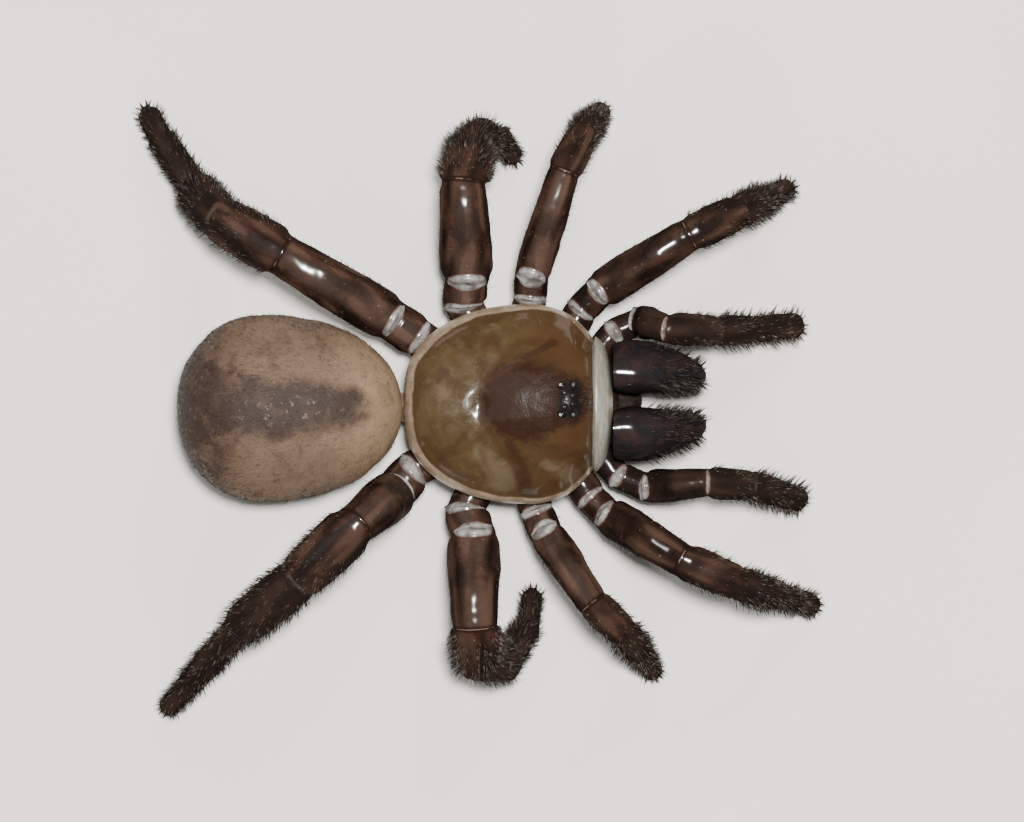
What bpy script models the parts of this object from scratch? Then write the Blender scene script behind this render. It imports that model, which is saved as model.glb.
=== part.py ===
"""A female trapdoor spider as a still, life-size model, seen with its head towards +X.

Shapes are drawn in millimetres, and place() turns each one into metres. X runs from tail to
head, Y towards the animal's left and Z up. All feet stand on Z = 0.
"""
import math
import random

import bmesh
import bpy
from mathutils import Matrix, Vector

MM = 0.001
AHEAD = Vector((1.0, 0.0, 0.0))
ASIDE = Vector((0.0, 1.0, 0.0))
UP = Vector((0.0, 0.0, 1.0))

# Gap kept between parts that touch, and the smaller one round the eyes
GAP = 0.3
EYE_GAP = 0.05

# Moves the drawing so that the middle of its box stands over the origin
FRAME_SHIFT = Vector((0.648, -0.331, 0.0))

# The body's midline, and the heights of the underside of the shield and of its rim
MIDLINE = 0.6
SHIELD_UNDER = 4.9
SHIELD_RIM = 5.25

# Shield of the forebody: place along X, half width, height of the crest over the rim
SHIELD_STATIONS = (
    (-4.95, 1.9, 0.45),
    (-4.5, 3.0, 1.1),
    (-3.7, 4.0, 1.7),
    (-2.6, 4.8, 2.2),
    (-1.3, 5.4, 2.5),
    (-0.5, 5.65, 2.6),
    (0.2, 5.8, 2.75),
    (1.3, 5.95, 3.0),
    (2.6, 6.0, 3.2),
    (3.8, 5.8, 3.35),
    (4.8, 5.4, 3.45),
    (5.6, 4.75, 3.25),
    (6.1, 4.1, 2.9),
)
SHIELD_BULGE = 2.0
# The raised head part of the shield and the pit behind it: middle, half sizes, height
HEAD_HUMP = (2.6, 0.6, 2.7, 2.6, 0.35)
PIT = (-0.45, 0.6, 0.45, 1.3, -0.4)
# Soft band in front of the shield, in the same three sizes
BAND_STATIONS = (
    (6.4, 4.0, 2.85),
    (6.7, 3.85, 2.75),
    (7.0, 3.4, 2.6),
    (7.25, 2.6, 2.35),
    (7.42, 1.5, 2.1),
)
BAND_BULGE = 2.6
# Both are domes of this power over a flat underside that is this share of their width
DOME_POWER = 0.75
UNDERSIDE_SHARE = 0.97
DOME_STEPS = 16

# Eye mound in the same five sizes, how far the eyes' middles stand over it, and for each
# pair of eyes its place from the mound's middle and its radius
EYE_MOUND = (4.75, 0.84, 0.95, 1.5, 0.3)
EYE_LIFT = -0.06
EYES = {
    "anterior_median": (0.24, 0.24, 0.2),
    "anterior_lateral": (0.3, 0.83, 0.27),
    "posterior_median": (-0.2, 0.4, 0.18),
    "posterior_lateral": (-0.36, 0.83, 0.25),
}

# Breastplate, lip and stalk of the waist
STERNUM_MIDDLE = Vector((1.3, 0.55))
STERNUM_HALF = (3.5, 2.7)
STERNUM_LEVELS = ((1.5, 0.7), (1.85, 0.93), (2.6, 1.0), (SHIELD_UNDER - GAP, 1.0))
LABIUM_SECTIONS = ((5.15, 0.9), (5.45, 1.0), (5.9, 0.9), (6.2, 0.6))
LABIUM_HALF_WIDTH = 0.85
LABIUM_Z = (1.9, 3.5)
PEDICEL_SECTIONS = ((-2.55, 1.15), (-4.0, 0.975), (-5.45, 0.8))
PEDICEL_Z = 3.6
PEDICEL_FLATNESS = 0.8

# Abdomen: an egg that is widest well behind its middle
ABDOMEN_WIDEST_X = -13.4
ABDOMEN_FRONT_X = -5.2
ABDOMEN_REAR_X = -18.7
ABDOMEN_Y = 0.36
ABDOMEN_Z = 5.1
ABDOMEN_HALF = (5.5, 4.55)
ABDOMEN_BLUNTNESS = 2.1
ABDOMEN_SECTIONS = 16

# Spinnerets: place along X, offset from the midline, length, root radius and tip radius
SPINNERETS = {
    "posterior": (-16.9, 0.85, 1.5, 0.36, 0.22),
    "median": (-16.9, 0.22, 0.7, 0.17, 0.13),
}
# Share of the length and share of the way from root radius to tip radius
SPINNERET_SECTIONS = ((0.0, 0.0), (0.45, 0.0), (0.75, 0.5), (1.0, 1.0))
SPINNERET_SPLAY = 0.15
SPINNERET_DROOP = 0.1

# Jaws: place along X, offset from their midline, middle height, half width, half height
JAW_MIDLINE = 0.8
JAW_STATIONS = (
    (7.7, 2.0, 5.6, 1.5, 2.1),
    (8.5, 2.0, 5.7, 1.65, 2.45),
    (9.7, 1.98, 5.5, 1.55, 2.45),
    (11.0, 1.85, 4.95, 1.3, 2.15),
    (12.1, 1.65, 4.3, 0.95, 1.6),
    (12.8, 1.55, 3.85, 0.6, 1.05),
    (13.05, 1.5, 3.7, 0.3, 0.55),
)
# Digging spines on a jaw's front: place along X, turns from its top in degrees, length
JAW_SPINE_ROWS = (
    (11.2, (-55, -20, 20, 55), 0.55),
    (12.1, (-70, -35, 0, 35, 70), 0.65),
)
JAW_SPINE_RISE = 0.6
JAW_SPINE_LEAN = 1.2
# Fang, folded back under its jaw: place along X, height and radius
FANG_STATIONS = (
    (12.35, 2.25, 0.42),
    (12.3, 1.75, 0.42),
    (11.5, 1.35, 0.38),
    (10.3, 1.25, 0.3),
    (9.2, 1.45, 0.18),
    (8.6, 1.7, 0.05),
)
FANG_OFFSET = 1.6

# Half thickness of each limb's joints, from the hip outwards
GIRTH = {
    "palp": (0.85, 0.85, 0.95, 0.95, 0.9, 0.8),
    "leg_1": (1.05, 1.0, 1.15, 1.1, 1.0, 0.8, 0.7),
    "leg_2": (1.05, 1.05, 1.05, 1.0, 0.95, 0.8, 0.65),
    "leg_3": (1.15, 1.35, 1.5, 1.5, 1.3, 0.9, 0.65),
    "leg_4": (1.15, 1.3, 1.4, 1.5, 1.35, 0.9, 0.7),
}
SEGMENTS = {
    "palp": ("coxa", "trochanter", "femur", "patella", "tibia", "tarsus"),
    "leg": ("coxa", "trochanter", "femur", "patella", "tibia", "metatarsus", "tarsus"),
}
# The pose: hip, then the outer end of each segment down to the claws
POSE = {
    "palp_left": (
        (5.7, 2.5, 3.0), (7.5, 4.9, 3.0), (9.1, 5.6, 3.2), (10.7, 5.1, 6.2),
        (13.7, 5.0, 4.8), (15.9, 5.1, 2.6), (19.1, 5.4, 0.45)),
    "palp_right": (
        (5.8, -1.4, 3.0), (7.8, -3.7, 3.0), (9.5, -4.4, 3.4), (13.1, -4.1, 5.8),
        (15.7, -4.3, 4.3), (17.3, -4.7, 2.5), (19.1, -5.3, 0.45)),
    "leg_1_left": (
        (3.8, 3.1, 3.2), (5.6, 6.3, 3.3), (6.7, 7.4, 4.1), (12.0, 10.7, 7.2),
        (14.9, 12.1, 6.2), (16.6, 12.9, 3.2), (17.2, 13.2, 1.4), (18.5, 13.9, 0.45)),
    "leg_1_right": (
        (4.1, -2.1, 3.2), (6.2, -5.1, 3.3), (7.2, -6.1, 4.1), (11.6, -8.7, 8.0),
        (14.9, -10.1, 7.2), (17.2, -10.9, 4.3), (18.6, -11.3, 1.8), (20.0, -11.7, 0.45)),
    "leg_2_left": (
        (1.9, 3.7, 3.2), (2.5, 7.0, 3.3), (2.6, 8.4, 4.1), (4.5, 14.4, 7.4),
        (5.6, 16.7, 5.4), (6.2, 17.6, 3.0), (6.5, 18.0, 1.5), (7.0, 18.6, 0.45)),
    "leg_2_right": (
        (2.0, -2.6, 3.2), (2.9, -5.9, 3.3), (3.5, -7.2, 4.1), (6.2, -11.2, 8.0),
        (8.0, -13.0, 6.2), (9.1, -14.3, 3.4), (9.5, -15.0, 1.6), (10.2, -15.9, 0.45)),
    "leg_3_left": (
        (0.0, 3.7, 3.2), (-1.5, 6.6, 3.3), (-1.3, 8.2, 4.1), (-1.5, 13.8, 7.2),
        (-1.1, 16.0, 5.2), (-0.2, 16.7, 3.2), (0.9, 16.4, 1.4), (1.7, 15.3, 0.45)),
    "leg_3_right": (
        (0.1, -2.6, 3.2), (-1.4, -5.8, 3.3), (-0.9, -7.3, 4.1), (-0.8, -12.6, 7.4),
        (-0.6, -14.7, 5.2), (1.1, -14.9, 3.2), (2.4, -12.8, 1.4), (2.7, -10.6, 0.45)),
    "leg_4_left": (
        (-1.6, 2.9, 3.2), (-4.2, 4.6, 3.3), (-5.9, 5.7, 3.9), (-12.3, 9.5, 7.9),
        (-16.1, 11.7, 5.6), (-17.8, 13.6, 1.9), (-20.0, 16.9, 0.9), (-20.9, 18.7, 0.45)),
    "leg_4_right": (
        (-1.5, -1.8, 3.2), (-4.5, -3.3, 3.3), (-5.6, -4.7, 3.4), (-7.9, -6.6, 9.8),
        (-11.3, -9.8, 8.0), (-15.0, -12.9, 5.4), (-18.1, -16.3, 2.2), (-19.7, -18.1, 0.45)),
}

# Girth along one segment: at its ends, just inside them and at its middle
END_SHARE = 0.76
SHOULDER_SHARE = 0.95
TIP_SHARE = 0.55
ROOT_SHARE = 0.6
# How far a segment reaches into the next one, as a share of its half thickness
OVERLAP_SHARE = 0.35
SHOULDER_INSET = 0.4
SHOULDER_INSET_LIMIT = 0.42

# Rows of stout spines on both sides of a segment: the row's turn from the segment's top in
# degrees, the number of spines and their length
SPINE_ROWS = {
    "palp": {"tibia": ((80, 4, 0.7),), "tarsus": ((85, 5, 0.8),)},
    "leg_1": {"tibia": ((95, 3, 0.7),), "metatarsus": ((90, 3, 0.7),), "tarsus": ((85, 2, 0.6),)},
    "leg_2": {"tibia": ((95, 3, 0.7),), "metatarsus": ((90, 3, 0.7),), "tarsus": ((85, 2, 0.6),)},
    "leg_3": {"patella": ((70, 4, 0.5),), "tibia": ((80, 3, 0.6),), "metatarsus": ((90, 3, 0.6),)},
    "leg_4": {"tibia": ((100, 3, 0.6),), "metatarsus": ((95, 3, 0.6),), "tarsus": ((90, 2, 0.5),)},
}
SPINE_STRETCH = (0.2, 0.88)
SPINE_RADIUS = 0.25
SPINE_TIP_RADIUS = 0.05
SPINE_SUNK = 0.35
# Lean of a spine towards its segment's outer end, and how much spines differ in length
SPINE_LEAN = 0.65
SPINE_VARIATION = 0.15
# The lowest that a spine's tip reaches
SPINE_CLEARANCE = 0.2
SEED = 7

# Number of flat sides that stand for a round section
SIDES = {
    "abdomen": 20, "sternum": 20, "jaw": 14, "labium": 10, "pedicel": 10,
    "limb": 8, "fang": 8, "spinneret": 8, "spine": 4,
}
# Points nearer than this become one, and edges shorter than this go
MERGE_DISTANCE = 0.004
SHORTEST_EDGE = 0.002
# Edges with a sharper turn than this are not shaded smooth
SHARP_TURN = math.radians(50)

# Colour, roughness
CUTICLE = ((0.075, 0.03, 0.02), 0.25)
SHIELD_BROWN = ((0.24, 0.15, 0.07), 0.2)
IVORY = ((0.72, 0.68, 0.56), 0.45)
VELVET_BROWN = ((0.17, 0.105, 0.075), 0.8)
UNDERSIDE_BROWN = ((0.2, 0.1, 0.06), 0.4)
JAW_BLACK = ((0.03, 0.016, 0.014), 0.15)
EYE_BLACK = ((0.01, 0.01, 0.012), 0.05)


def clear_scene():
    for item in list(bpy.data.objects):
        bpy.data.objects.remove(item, do_unlink=True)


def material(name, look):
    colour, roughness = look
    made = bpy.data.materials.new(name)
    made.use_nodes = True
    shader = made.node_tree.nodes["Principled BSDF"]
    shader.inputs["Base Color"].default_value = (*colour, 1.0)
    shader.inputs["Roughness"].default_value = roughness
    shader.inputs["Metallic"].default_value = 0.0
    return made


def loft(rings):
    """A closed mesh through rings of equally many points, with a flat face on each end."""
    form = bmesh.new()
    rows = [[form.verts.new(point) for point in ring] for ring in rings]
    count = len(rows[0])
    for near, far in zip(rows, rows[1:]):
        for i in range(count):
            j = (i + 1) % count
            form.faces.new((near[i], near[j], far[j], far[i]))
    form.faces.new(list(reversed(rows[0])))
    form.faces.new(rows[-1])
    bmesh.ops.recalc_face_normals(form, faces=form.faces)
    if form.calc_volume(signed=True) < 0:
        bmesh.ops.reverse_faces(form, faces=form.faces)
    mesh = bpy.data.meshes.new("form")
    form.to_mesh(mesh)
    form.free()
    return mesh


def oval(centre, across, upward, half_width, half_height, sides):
    turns = (2 * math.pi * (i + 0.5) / sides for i in range(sides))
    return [
        centre + across * (half_width * math.cos(turn)) + upward * (half_height * math.sin(turn))
        for turn in turns
    ]


def between(stations, x, column):
    """Value of one column of the stations at x, on straight lines from one to the next."""
    for near, far in zip(stations, stations[1:]):
        if x <= far[0]:
            share = (x - near[0]) / (far[0] - near[0])
            return near[column] + (far[column] - near[column]) * max(share, 0.0)
    return stations[-1][column]


def applied(item):
    """The mesh of an object with its modifiers applied; the object is removed."""
    view = bpy.context.evaluated_depsgraph_get()
    view.update()
    mesh = bpy.data.meshes.new_from_object(item.evaluated_get(view))
    bpy.data.objects.remove(item, do_unlink=True)
    return mesh


def combined(mesh, others, operation):
    """One closed mesh from a first closed mesh and a collection of other ones."""
    base = bpy.data.objects.new("base", mesh)
    bpy.context.scene.collection.objects.link(base)
    group = bpy.data.collections.new("others")
    for other in others:
        group.objects.link(bpy.data.objects.new("other", other))
    boolean = base.modifiers.new("boolean", "BOOLEAN")
    boolean.operation = operation
    boolean.operand_type = "COLLECTION"
    boolean.solver = "EXACT"
    boolean.collection = group
    result = applied(base)
    for piece in list(group.objects):
        bpy.data.objects.remove(piece, do_unlink=True)
    bpy.data.collections.remove(group)
    return largest_body(result)


def largest_body(mesh):
    """Keeps only the closed surface with the largest volume."""
    form = bmesh.new()
    form.from_mesh(mesh)
    bmesh.ops.remove_doubles(form, verts=form.verts, dist=MERGE_DISTANCE)
    bmesh.ops.dissolve_degenerate(form, edges=form.edges, dist=SHORTEST_EDGE)
    bmesh.ops.triangulate(form, faces=form.faces)
    unseen = set(form.faces)
    bodies = []
    while unseen:
        body = [unseen.pop()]
        for face in body:
            for edge in face.edges:
                for neighbour in edge.link_faces:
                    if neighbour in unseen:
                        unseen.remove(neighbour)
                        body.append(neighbour)
        bodies.append(body)
    bodies.sort(key=volume_of)
    for body in bodies[:-1]:
        bmesh.ops.delete(form, geom=body, context="FACES")
    loose = [vert for vert in form.verts if not vert.link_faces]
    bmesh.ops.delete(form, geom=loose, context="VERTS")
    form.to_mesh(mesh)
    form.free()
    return mesh


def volume_of(faces):
    total = 0.0
    for face in faces:
        a, b, c = (vert.co for vert in face.verts)
        total += a.dot(b.cross(c)) / 6
    return total


def place(name, mesh, origin, look, rig):
    """Makes a named object in metres, with its own origin where it joins the body."""
    mesh.transform(Matrix.Translation(-Vector(origin)))
    mesh.transform(Matrix.Scale(MM, 4))
    mesh.name = name
    mesh.materials.clear()
    mesh.materials.append(material(name, look))
    mesh.shade_smooth()
    mesh.set_sharp_from_angle(angle=SHARP_TURN)
    item = bpy.data.objects.new(name, mesh)
    bpy.context.scene.collection.objects.link(item)
    item.location = Vector(origin) * MM
    item.parent = rig
    return item


def hump(form, x, y):
    """Height over a point that a smooth mound adds, or that a pit takes off."""
    middle_x, middle_y, half_length, half_width, height = form
    along = (x - middle_x) / half_length
    aside = (y - middle_y) / half_width
    return height * math.exp(-(along ** 2 + aside ** 2))


def shield_top(x, y):
    """Height of the shield's surface over a point."""
    u = (y - MIDLINE) / between(SHIELD_STATIONS, x, 1)
    dome = between(SHIELD_STATIONS, x, 2) * (1 - abs(u) ** SHIELD_BULGE) ** DOME_POWER
    return SHIELD_RIM + dome + sum(hump(form, x, y) for form in (HEAD_HUMP, PIT, EYE_MOUND))


def band_top(x, y):
    """Height of the soft band's surface over a point."""
    u = (y - MIDLINE) / between(BAND_STATIONS, x, 1)
    return SHIELD_RIM + between(BAND_STATIONS, x, 2) * (1 - abs(u) ** BAND_BULGE) ** DOME_POWER


def arch(x, half_width, top):
    """Section across the shield or band: a dome on a flat underside."""
    points = []
    for i in range(DOME_STEPS + 1):
        y = MIDLINE - half_width * math.cos(math.pi * i / DOME_STEPS)
        points.append(Vector((x, y, top(x, y))))
    for sign in (1, -1):
        y = MIDLINE + sign * half_width * UNDERSIDE_SHARE
        points.append(Vector((x, y, SHIELD_UNDER)))
    return points


def ball(centre, radius):
    form = bmesh.new()
    bmesh.ops.create_icosphere(
        form, subdivisions=2, radius=radius, matrix=Matrix.Translation(centre))
    mesh = bpy.data.meshes.new("ball")
    form.to_mesh(mesh)
    form.free()
    return mesh


def eye_places():
    """Each eye's name, middle and radius."""
    for pair, (along, aside, radius) in EYES.items():
        for side, sign in (("left", 1), ("right", -1)):
            x = EYE_MOUND[0] + along
            y = EYE_MOUND[1] + sign * aside
            centre = Vector((x, y, shield_top(x, y) + EYE_LIFT))
            yield f"eye_{pair}_{side}", centre, radius


def build_forebody(rig):
    shield = loft([arch(x, half_width, shield_top) for x, half_width, _ in SHIELD_STATIONS])
    pockets = [ball(centre, radius + EYE_GAP) for _, centre, radius in eye_places()]
    shield = combined(shield, pockets, "DIFFERENCE")
    place("carapace", shield, (0, MIDLINE, SHIELD_RIM), SHIELD_BROWN, rig)
    band = loft([arch(x, half_width, band_top) for x, half_width, _ in BAND_STATIONS])
    place("frontal_membrane", band, (BAND_STATIONS[0][0], MIDLINE, SHIELD_RIM), IVORY, rig)
    for name, centre, radius in eye_places():
        place(name, ball(centre, radius), centre, EYE_BLACK, rig)


def build_underside(rig):
    x, y = STERNUM_MIDDLE
    long, wide = STERNUM_HALF
    sternum = loft([
        oval(Vector((x, y, z)), AHEAD, ASIDE, long * share, wide * share, SIDES["sternum"])
        for z, share in STERNUM_LEVELS
    ])
    place("sternum", sternum, (x, y, STERNUM_LEVELS[0][0]), UNDERSIDE_BROWN, rig)

    low, high = LABIUM_Z
    middle = (low + high) / 2
    tall = (high - low) / 2
    labium = loft([
        oval(Vector((px, y, middle)), ASIDE, UP, LABIUM_HALF_WIDTH * share, tall * share,
             SIDES["labium"])
        for px, share in LABIUM_SECTIONS
    ])
    place("labium", labium, (LABIUM_SECTIONS[0][0], y, middle), UNDERSIDE_BROWN, rig)

    pedicel = loft([
        oval(Vector((px, y, PEDICEL_Z)), ASIDE, UP, radius, radius * PEDICEL_FLATNESS,
             SIDES["pedicel"])
        for px, radius in PEDICEL_SECTIONS
    ])
    place("pedicel", pedicel, (PEDICEL_SECTIONS[0][0], y, PEDICEL_Z), UNDERSIDE_BROWN, rig)


def abdomen_share(x):
    """Girth of the abdomen at x as a share of its widest."""
    if x > ABDOMEN_WIDEST_X:
        run = (x - ABDOMEN_WIDEST_X) / (ABDOMEN_FRONT_X - ABDOMEN_WIDEST_X)
    else:
        run = (ABDOMEN_WIDEST_X - x) / (ABDOMEN_WIDEST_X - ABDOMEN_REAR_X)
    return max(1 - run ** ABDOMEN_BLUNTNESS, 0.0) ** (1 / ABDOMEN_BLUNTNESS)


def abdomen_belly(x, aside):
    """Point on the abdomen's lower side and the direction that faces away from it there."""
    def depth(px, py):
        across = py / ABDOMEN_HALF[0]
        return ABDOMEN_Z - ABDOMEN_HALF[1] * math.sqrt(abdomen_share(px) ** 2 - across ** 2)

    step = 0.05
    slope_x = (depth(x + step, aside) - depth(x - step, aside)) / (2 * step)
    slope_y = (depth(x, aside + step) - depth(x, aside - step)) / (2 * step)
    point = Vector((x, ABDOMEN_Y + aside, depth(x, aside)))
    return point, Vector((slope_x, slope_y, -1.0)).normalized()


def build_abdomen(rig):
    middle = (ABDOMEN_FRONT_X + ABDOMEN_REAR_X) / 2
    half_length = (ABDOMEN_FRONT_X - ABDOMEN_REAR_X) / 2
    sections = []
    for i in range(ABDOMEN_SECTIONS):
        x = middle - half_length * math.cos(math.pi * (i + 0.5) / ABDOMEN_SECTIONS)
        share = abdomen_share(x)
        sections.append(oval(
            Vector((x, ABDOMEN_Y, ABDOMEN_Z)), ASIDE, UP,
            ABDOMEN_HALF[0] * share, ABDOMEN_HALF[1] * share, SIDES["abdomen"]))
    front = (ABDOMEN_FRONT_X, ABDOMEN_Y, ABDOMEN_Z)
    place("abdomen", loft(sections), front, VELVET_BROWN, rig)

    for kind, (x, aside, length, root, tip) in SPINNERETS.items():
        for side, sign in (("left", 1), ("right", -1)):
            foot, normal = abdomen_belly(x, sign * aside)
            start = foot + normal * GAP
            way = Vector((-1.0, sign * SPINNERET_SPLAY, -SPINNERET_DROOP)).normalized()
            rings = []
            for share, taper in SPINNERET_SECTIONS:
                radius = root + (tip - root) * taper
                rings.append(oval(
                    start + way * (length * share), ASIDE, UP, radius, radius, SIDES["spinneret"]))
            rings[0] = onto_plane(rings[0], way, start, normal)
            place(f"spinneret_{kind}_{side}", loft(rings), start, UNDERSIDE_BROWN, rig)


def spine(foot, way, length):
    """A tapered spine whose root is sunk below the surface point that it stands on."""
    across = way.orthogonal().normalized()
    upward = way.cross(across)
    tip = foot + way * length
    tip.z = max(tip.z, SPINE_CLEARANCE)
    root = foot - way * SPINE_SUNK
    return loft([
        oval(root, across, upward, SPINE_RADIUS, SPINE_RADIUS, SIDES["spine"]),
        oval(tip, across, upward, SPINE_TIP_RADIUS, SPINE_TIP_RADIUS, SIDES["spine"]),
    ])


def spines_on(start, end, girth, rows, draw):
    """Spines in mirrored rows along the two sides of one limb segment."""
    way = (end - start).normalized()
    across = way.cross(UP).normalized()
    upward = across.cross(way)
    made = []
    for turn, count, length in rows:
        for sign in (1, -1):
            angle = math.radians(turn) * sign
            out = upward * math.cos(angle) + across * math.sin(angle)
            for i in range(count):
                share = SPINE_STRETCH[0] + (SPINE_STRETCH[1] - SPINE_STRETCH[0]) * i / (count - 1)
                foot = start.lerp(end, share) + out * (girth * SHOULDER_SHARE)
                lean = (out + way * SPINE_LEAN).normalized()
                varied = length * (1 + draw.uniform(-SPINE_VARIATION, SPINE_VARIATION))
                made.append(spine(foot, lean, varied))
    return made


def jaw_section(x):
    """Offset from the midline, middle height, half width and half height of a jaw at x."""
    return [between(JAW_STATIONS, x, column) for column in (1, 2, 3, 4)]


def build_jaws(rig):
    for side, sign in (("left", 1), ("right", -1)):
        rings = []
        for station in JAW_STATIONS:
            offset, z, wide, tall = jaw_section(station[0])
            middle = Vector((station[0], JAW_MIDLINE + sign * offset, z))
            rings.append(oval(middle, ASIDE, UP, wide, tall, SIDES["jaw"]))
        spines = []
        for x, turns, length in JAW_SPINE_ROWS:
            offset, z, wide, tall = jaw_section(x)
            middle = Vector((x, JAW_MIDLINE + sign * offset, z))
            for turn in turns:
                angle = math.radians(turn)
                foot = middle + ASIDE * (wide * math.sin(angle)) + UP * (tall * math.cos(angle))
                out = ASIDE * math.sin(angle) + UP * (JAW_SPINE_RISE * math.cos(angle))
                spines.append(spine(foot, (out + AHEAD * JAW_SPINE_LEAN).normalized(), length))
        root = (JAW_STATIONS[0][0], JAW_MIDLINE + sign * JAW_STATIONS[0][1], JAW_STATIONS[0][2])
        jaw = combined(loft(rings), spines, "UNION")
        place(f"chelicera_{side}", jaw, root, JAW_BLACK, rig)
        place(f"fang_{side}", fang(JAW_MIDLINE + sign * FANG_OFFSET), root, JAW_BLACK, rig)


def fang(y):
    path = [Vector((x, y, z)) for x, z, _ in FANG_STATIONS]
    rings = []
    for i, (_, _, radius) in enumerate(FANG_STATIONS):
        way = path[min(i + 1, len(path) - 1)] - path[max(i - 1, 0)]
        upward = way.cross(ASIDE).normalized()
        rings.append(oval(path[i], ASIDE, upward, radius, radius, SIDES["fang"]))
    return loft(rings)


def onto_plane(points, way, foot, normal):
    """Slides points along a direction until they lie on a plane."""
    return [point + way * ((foot - point).dot(normal) / way.dot(normal)) for point in points]


def segment(start, end, girth, before=None, after=None, root=False, tip=False):
    """One limb segment. A direction before or after it gives that end a mitred face at a joint
    that is left open by the gap; any other end reaches into its neighbour."""
    way = (end - start).normalized()
    across = way.cross(UP).normalized()
    upward = across.cross(way)
    length = (end - start).length

    def ring(distance, share):
        radius = girth * share
        return oval(start + way * distance, across, upward, radius, radius, SIDES["limb"])

    near_inset = SHOULDER_INSET * girth
    far_inset = SHOULDER_INSET * girth
    if before:
        near_inset += girth * END_SHARE * math.tan(before.angle(way) / 2)
    if after:
        far_inset += girth * END_SHARE * math.tan(after.angle(way) / 2)
    near_inset = min(near_inset, length * SHOULDER_INSET_LIMIT)
    far_inset = min(far_inset, length * SHOULDER_INSET_LIMIT)

    first = 0.0 if before or root else -OVERLAP_SHARE * girth
    last = length if after or tip else length + OVERLAP_SHARE * girth
    rings = [
        ring(first, ROOT_SHARE if root else END_SHARE),
        ring(near_inset, SHOULDER_SHARE),
        ring((near_inset + length - far_inset) / 2, 1.0),
        ring(length - far_inset, SHOULDER_SHARE),
        ring(last, TIP_SHARE if tip else END_SHARE),
    ]
    if before:
        normal = (before + way).normalized()
        rings[0] = onto_plane(rings[0], way, start + normal * (GAP / 2), normal)
    if after:
        normal = (after + way).normalized()
        rings[-1] = onto_plane(rings[-1], way, end - normal * (GAP / 2), normal)
    for row in rings:
        for point in row:
            point.z = max(point.z, 0.0)
    return loft(rings)


def build_limb(name, rig, draw):
    kind = name.rsplit("_", 1)[0]
    names = SEGMENTS["palp" if kind == "palp" else "leg"]
    joints = [Vector(joint) for joint in POSE[name]]
    ways = [(far - near).normalized() for near, far in zip(joints, joints[1:])]
    knee = names.index("patella")
    upper = []
    lower = []
    spines = []
    for i, (part, girth) in enumerate(zip(names, GIRTH[kind])):
        forms = upper if i < knee else lower
        forms.append(segment(
            joints[i], joints[i + 1], girth,
            before=ways[i - 1] if i == knee else None,
            after=ways[i + 1] if i == knee - 1 else None,
            root=i == 0, tip=i == len(names) - 1))
        rows = SPINE_ROWS[kind].get(part, ())
        spines += spines_on(joints[i], joints[i + 1], girth, rows, draw)
    hip_to_knee = combined(upper[0], upper[1:], "UNION")
    place(f"{name}_upper", hip_to_knee, joints[0], CUTICLE, rig)
    knee_to_claws = combined(lower[0], lower[1:] + spines, "UNION")
    place(f"{name}_lower", knee_to_claws, joints[knee], CUTICLE, rig)


def build():
    clear_scene()
    rig = bpy.data.objects.new("spider", None)
    bpy.context.scene.collection.objects.link(rig)
    rig.location = FRAME_SHIFT * MM
    build_forebody(rig)
    build_underside(rig)
    build_abdomen(rig)
    build_jaws(rig)
    draw = random.Random(SEED)
    for name in POSE:
        build_limb(name, rig, draw)


build()
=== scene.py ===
"""Looks of the trapdoor spider: skin, shell plates, membranes, bristles, floor, light, camera.

Shapes are drawn in millimetres in the drawing frame of the solids, and mesh_piece() turns them
into metres. Masks such as membranes and markings are worked out by formula for each vertex
and kept as attributes, which the materials read as distances in millimetres. A form is a pair of
its points and a list of face arrays.
"""

import math

import bpy
import numpy as np
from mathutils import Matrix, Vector


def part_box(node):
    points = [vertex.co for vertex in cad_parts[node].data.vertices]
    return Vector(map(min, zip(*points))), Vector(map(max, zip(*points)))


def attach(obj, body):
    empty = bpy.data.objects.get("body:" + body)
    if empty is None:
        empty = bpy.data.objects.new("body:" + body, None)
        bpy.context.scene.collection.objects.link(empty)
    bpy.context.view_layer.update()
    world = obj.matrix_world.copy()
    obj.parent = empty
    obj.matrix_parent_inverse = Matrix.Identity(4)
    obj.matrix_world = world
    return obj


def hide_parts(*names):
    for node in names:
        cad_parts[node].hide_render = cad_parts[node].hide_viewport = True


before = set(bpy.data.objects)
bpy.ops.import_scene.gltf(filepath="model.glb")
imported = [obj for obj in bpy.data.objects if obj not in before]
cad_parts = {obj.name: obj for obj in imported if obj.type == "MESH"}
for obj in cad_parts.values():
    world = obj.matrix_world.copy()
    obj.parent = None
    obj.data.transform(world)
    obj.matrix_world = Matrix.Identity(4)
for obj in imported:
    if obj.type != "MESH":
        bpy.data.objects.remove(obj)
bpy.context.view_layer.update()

MM = 0.001
UP = np.array((0.0, 0.0, 1.0))
SIDES = (("left", 1), ("right", -1))
STERNUM_MIDDLE = (1.3, 0.55)

# How far the solids stand from the drawing frame, in millimetres
SHIFT = np.append(np.mean(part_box("sternum"), axis=0)[:2] / MM - STERNUM_MIDDLE, 0.0)

# Sizes shared with the solids
MIDLINE = 0.6
SHIELD_UNDER = 4.9
SHIELD_RIM = 5.25
SHIELD_REAR_X = -5.08

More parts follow.
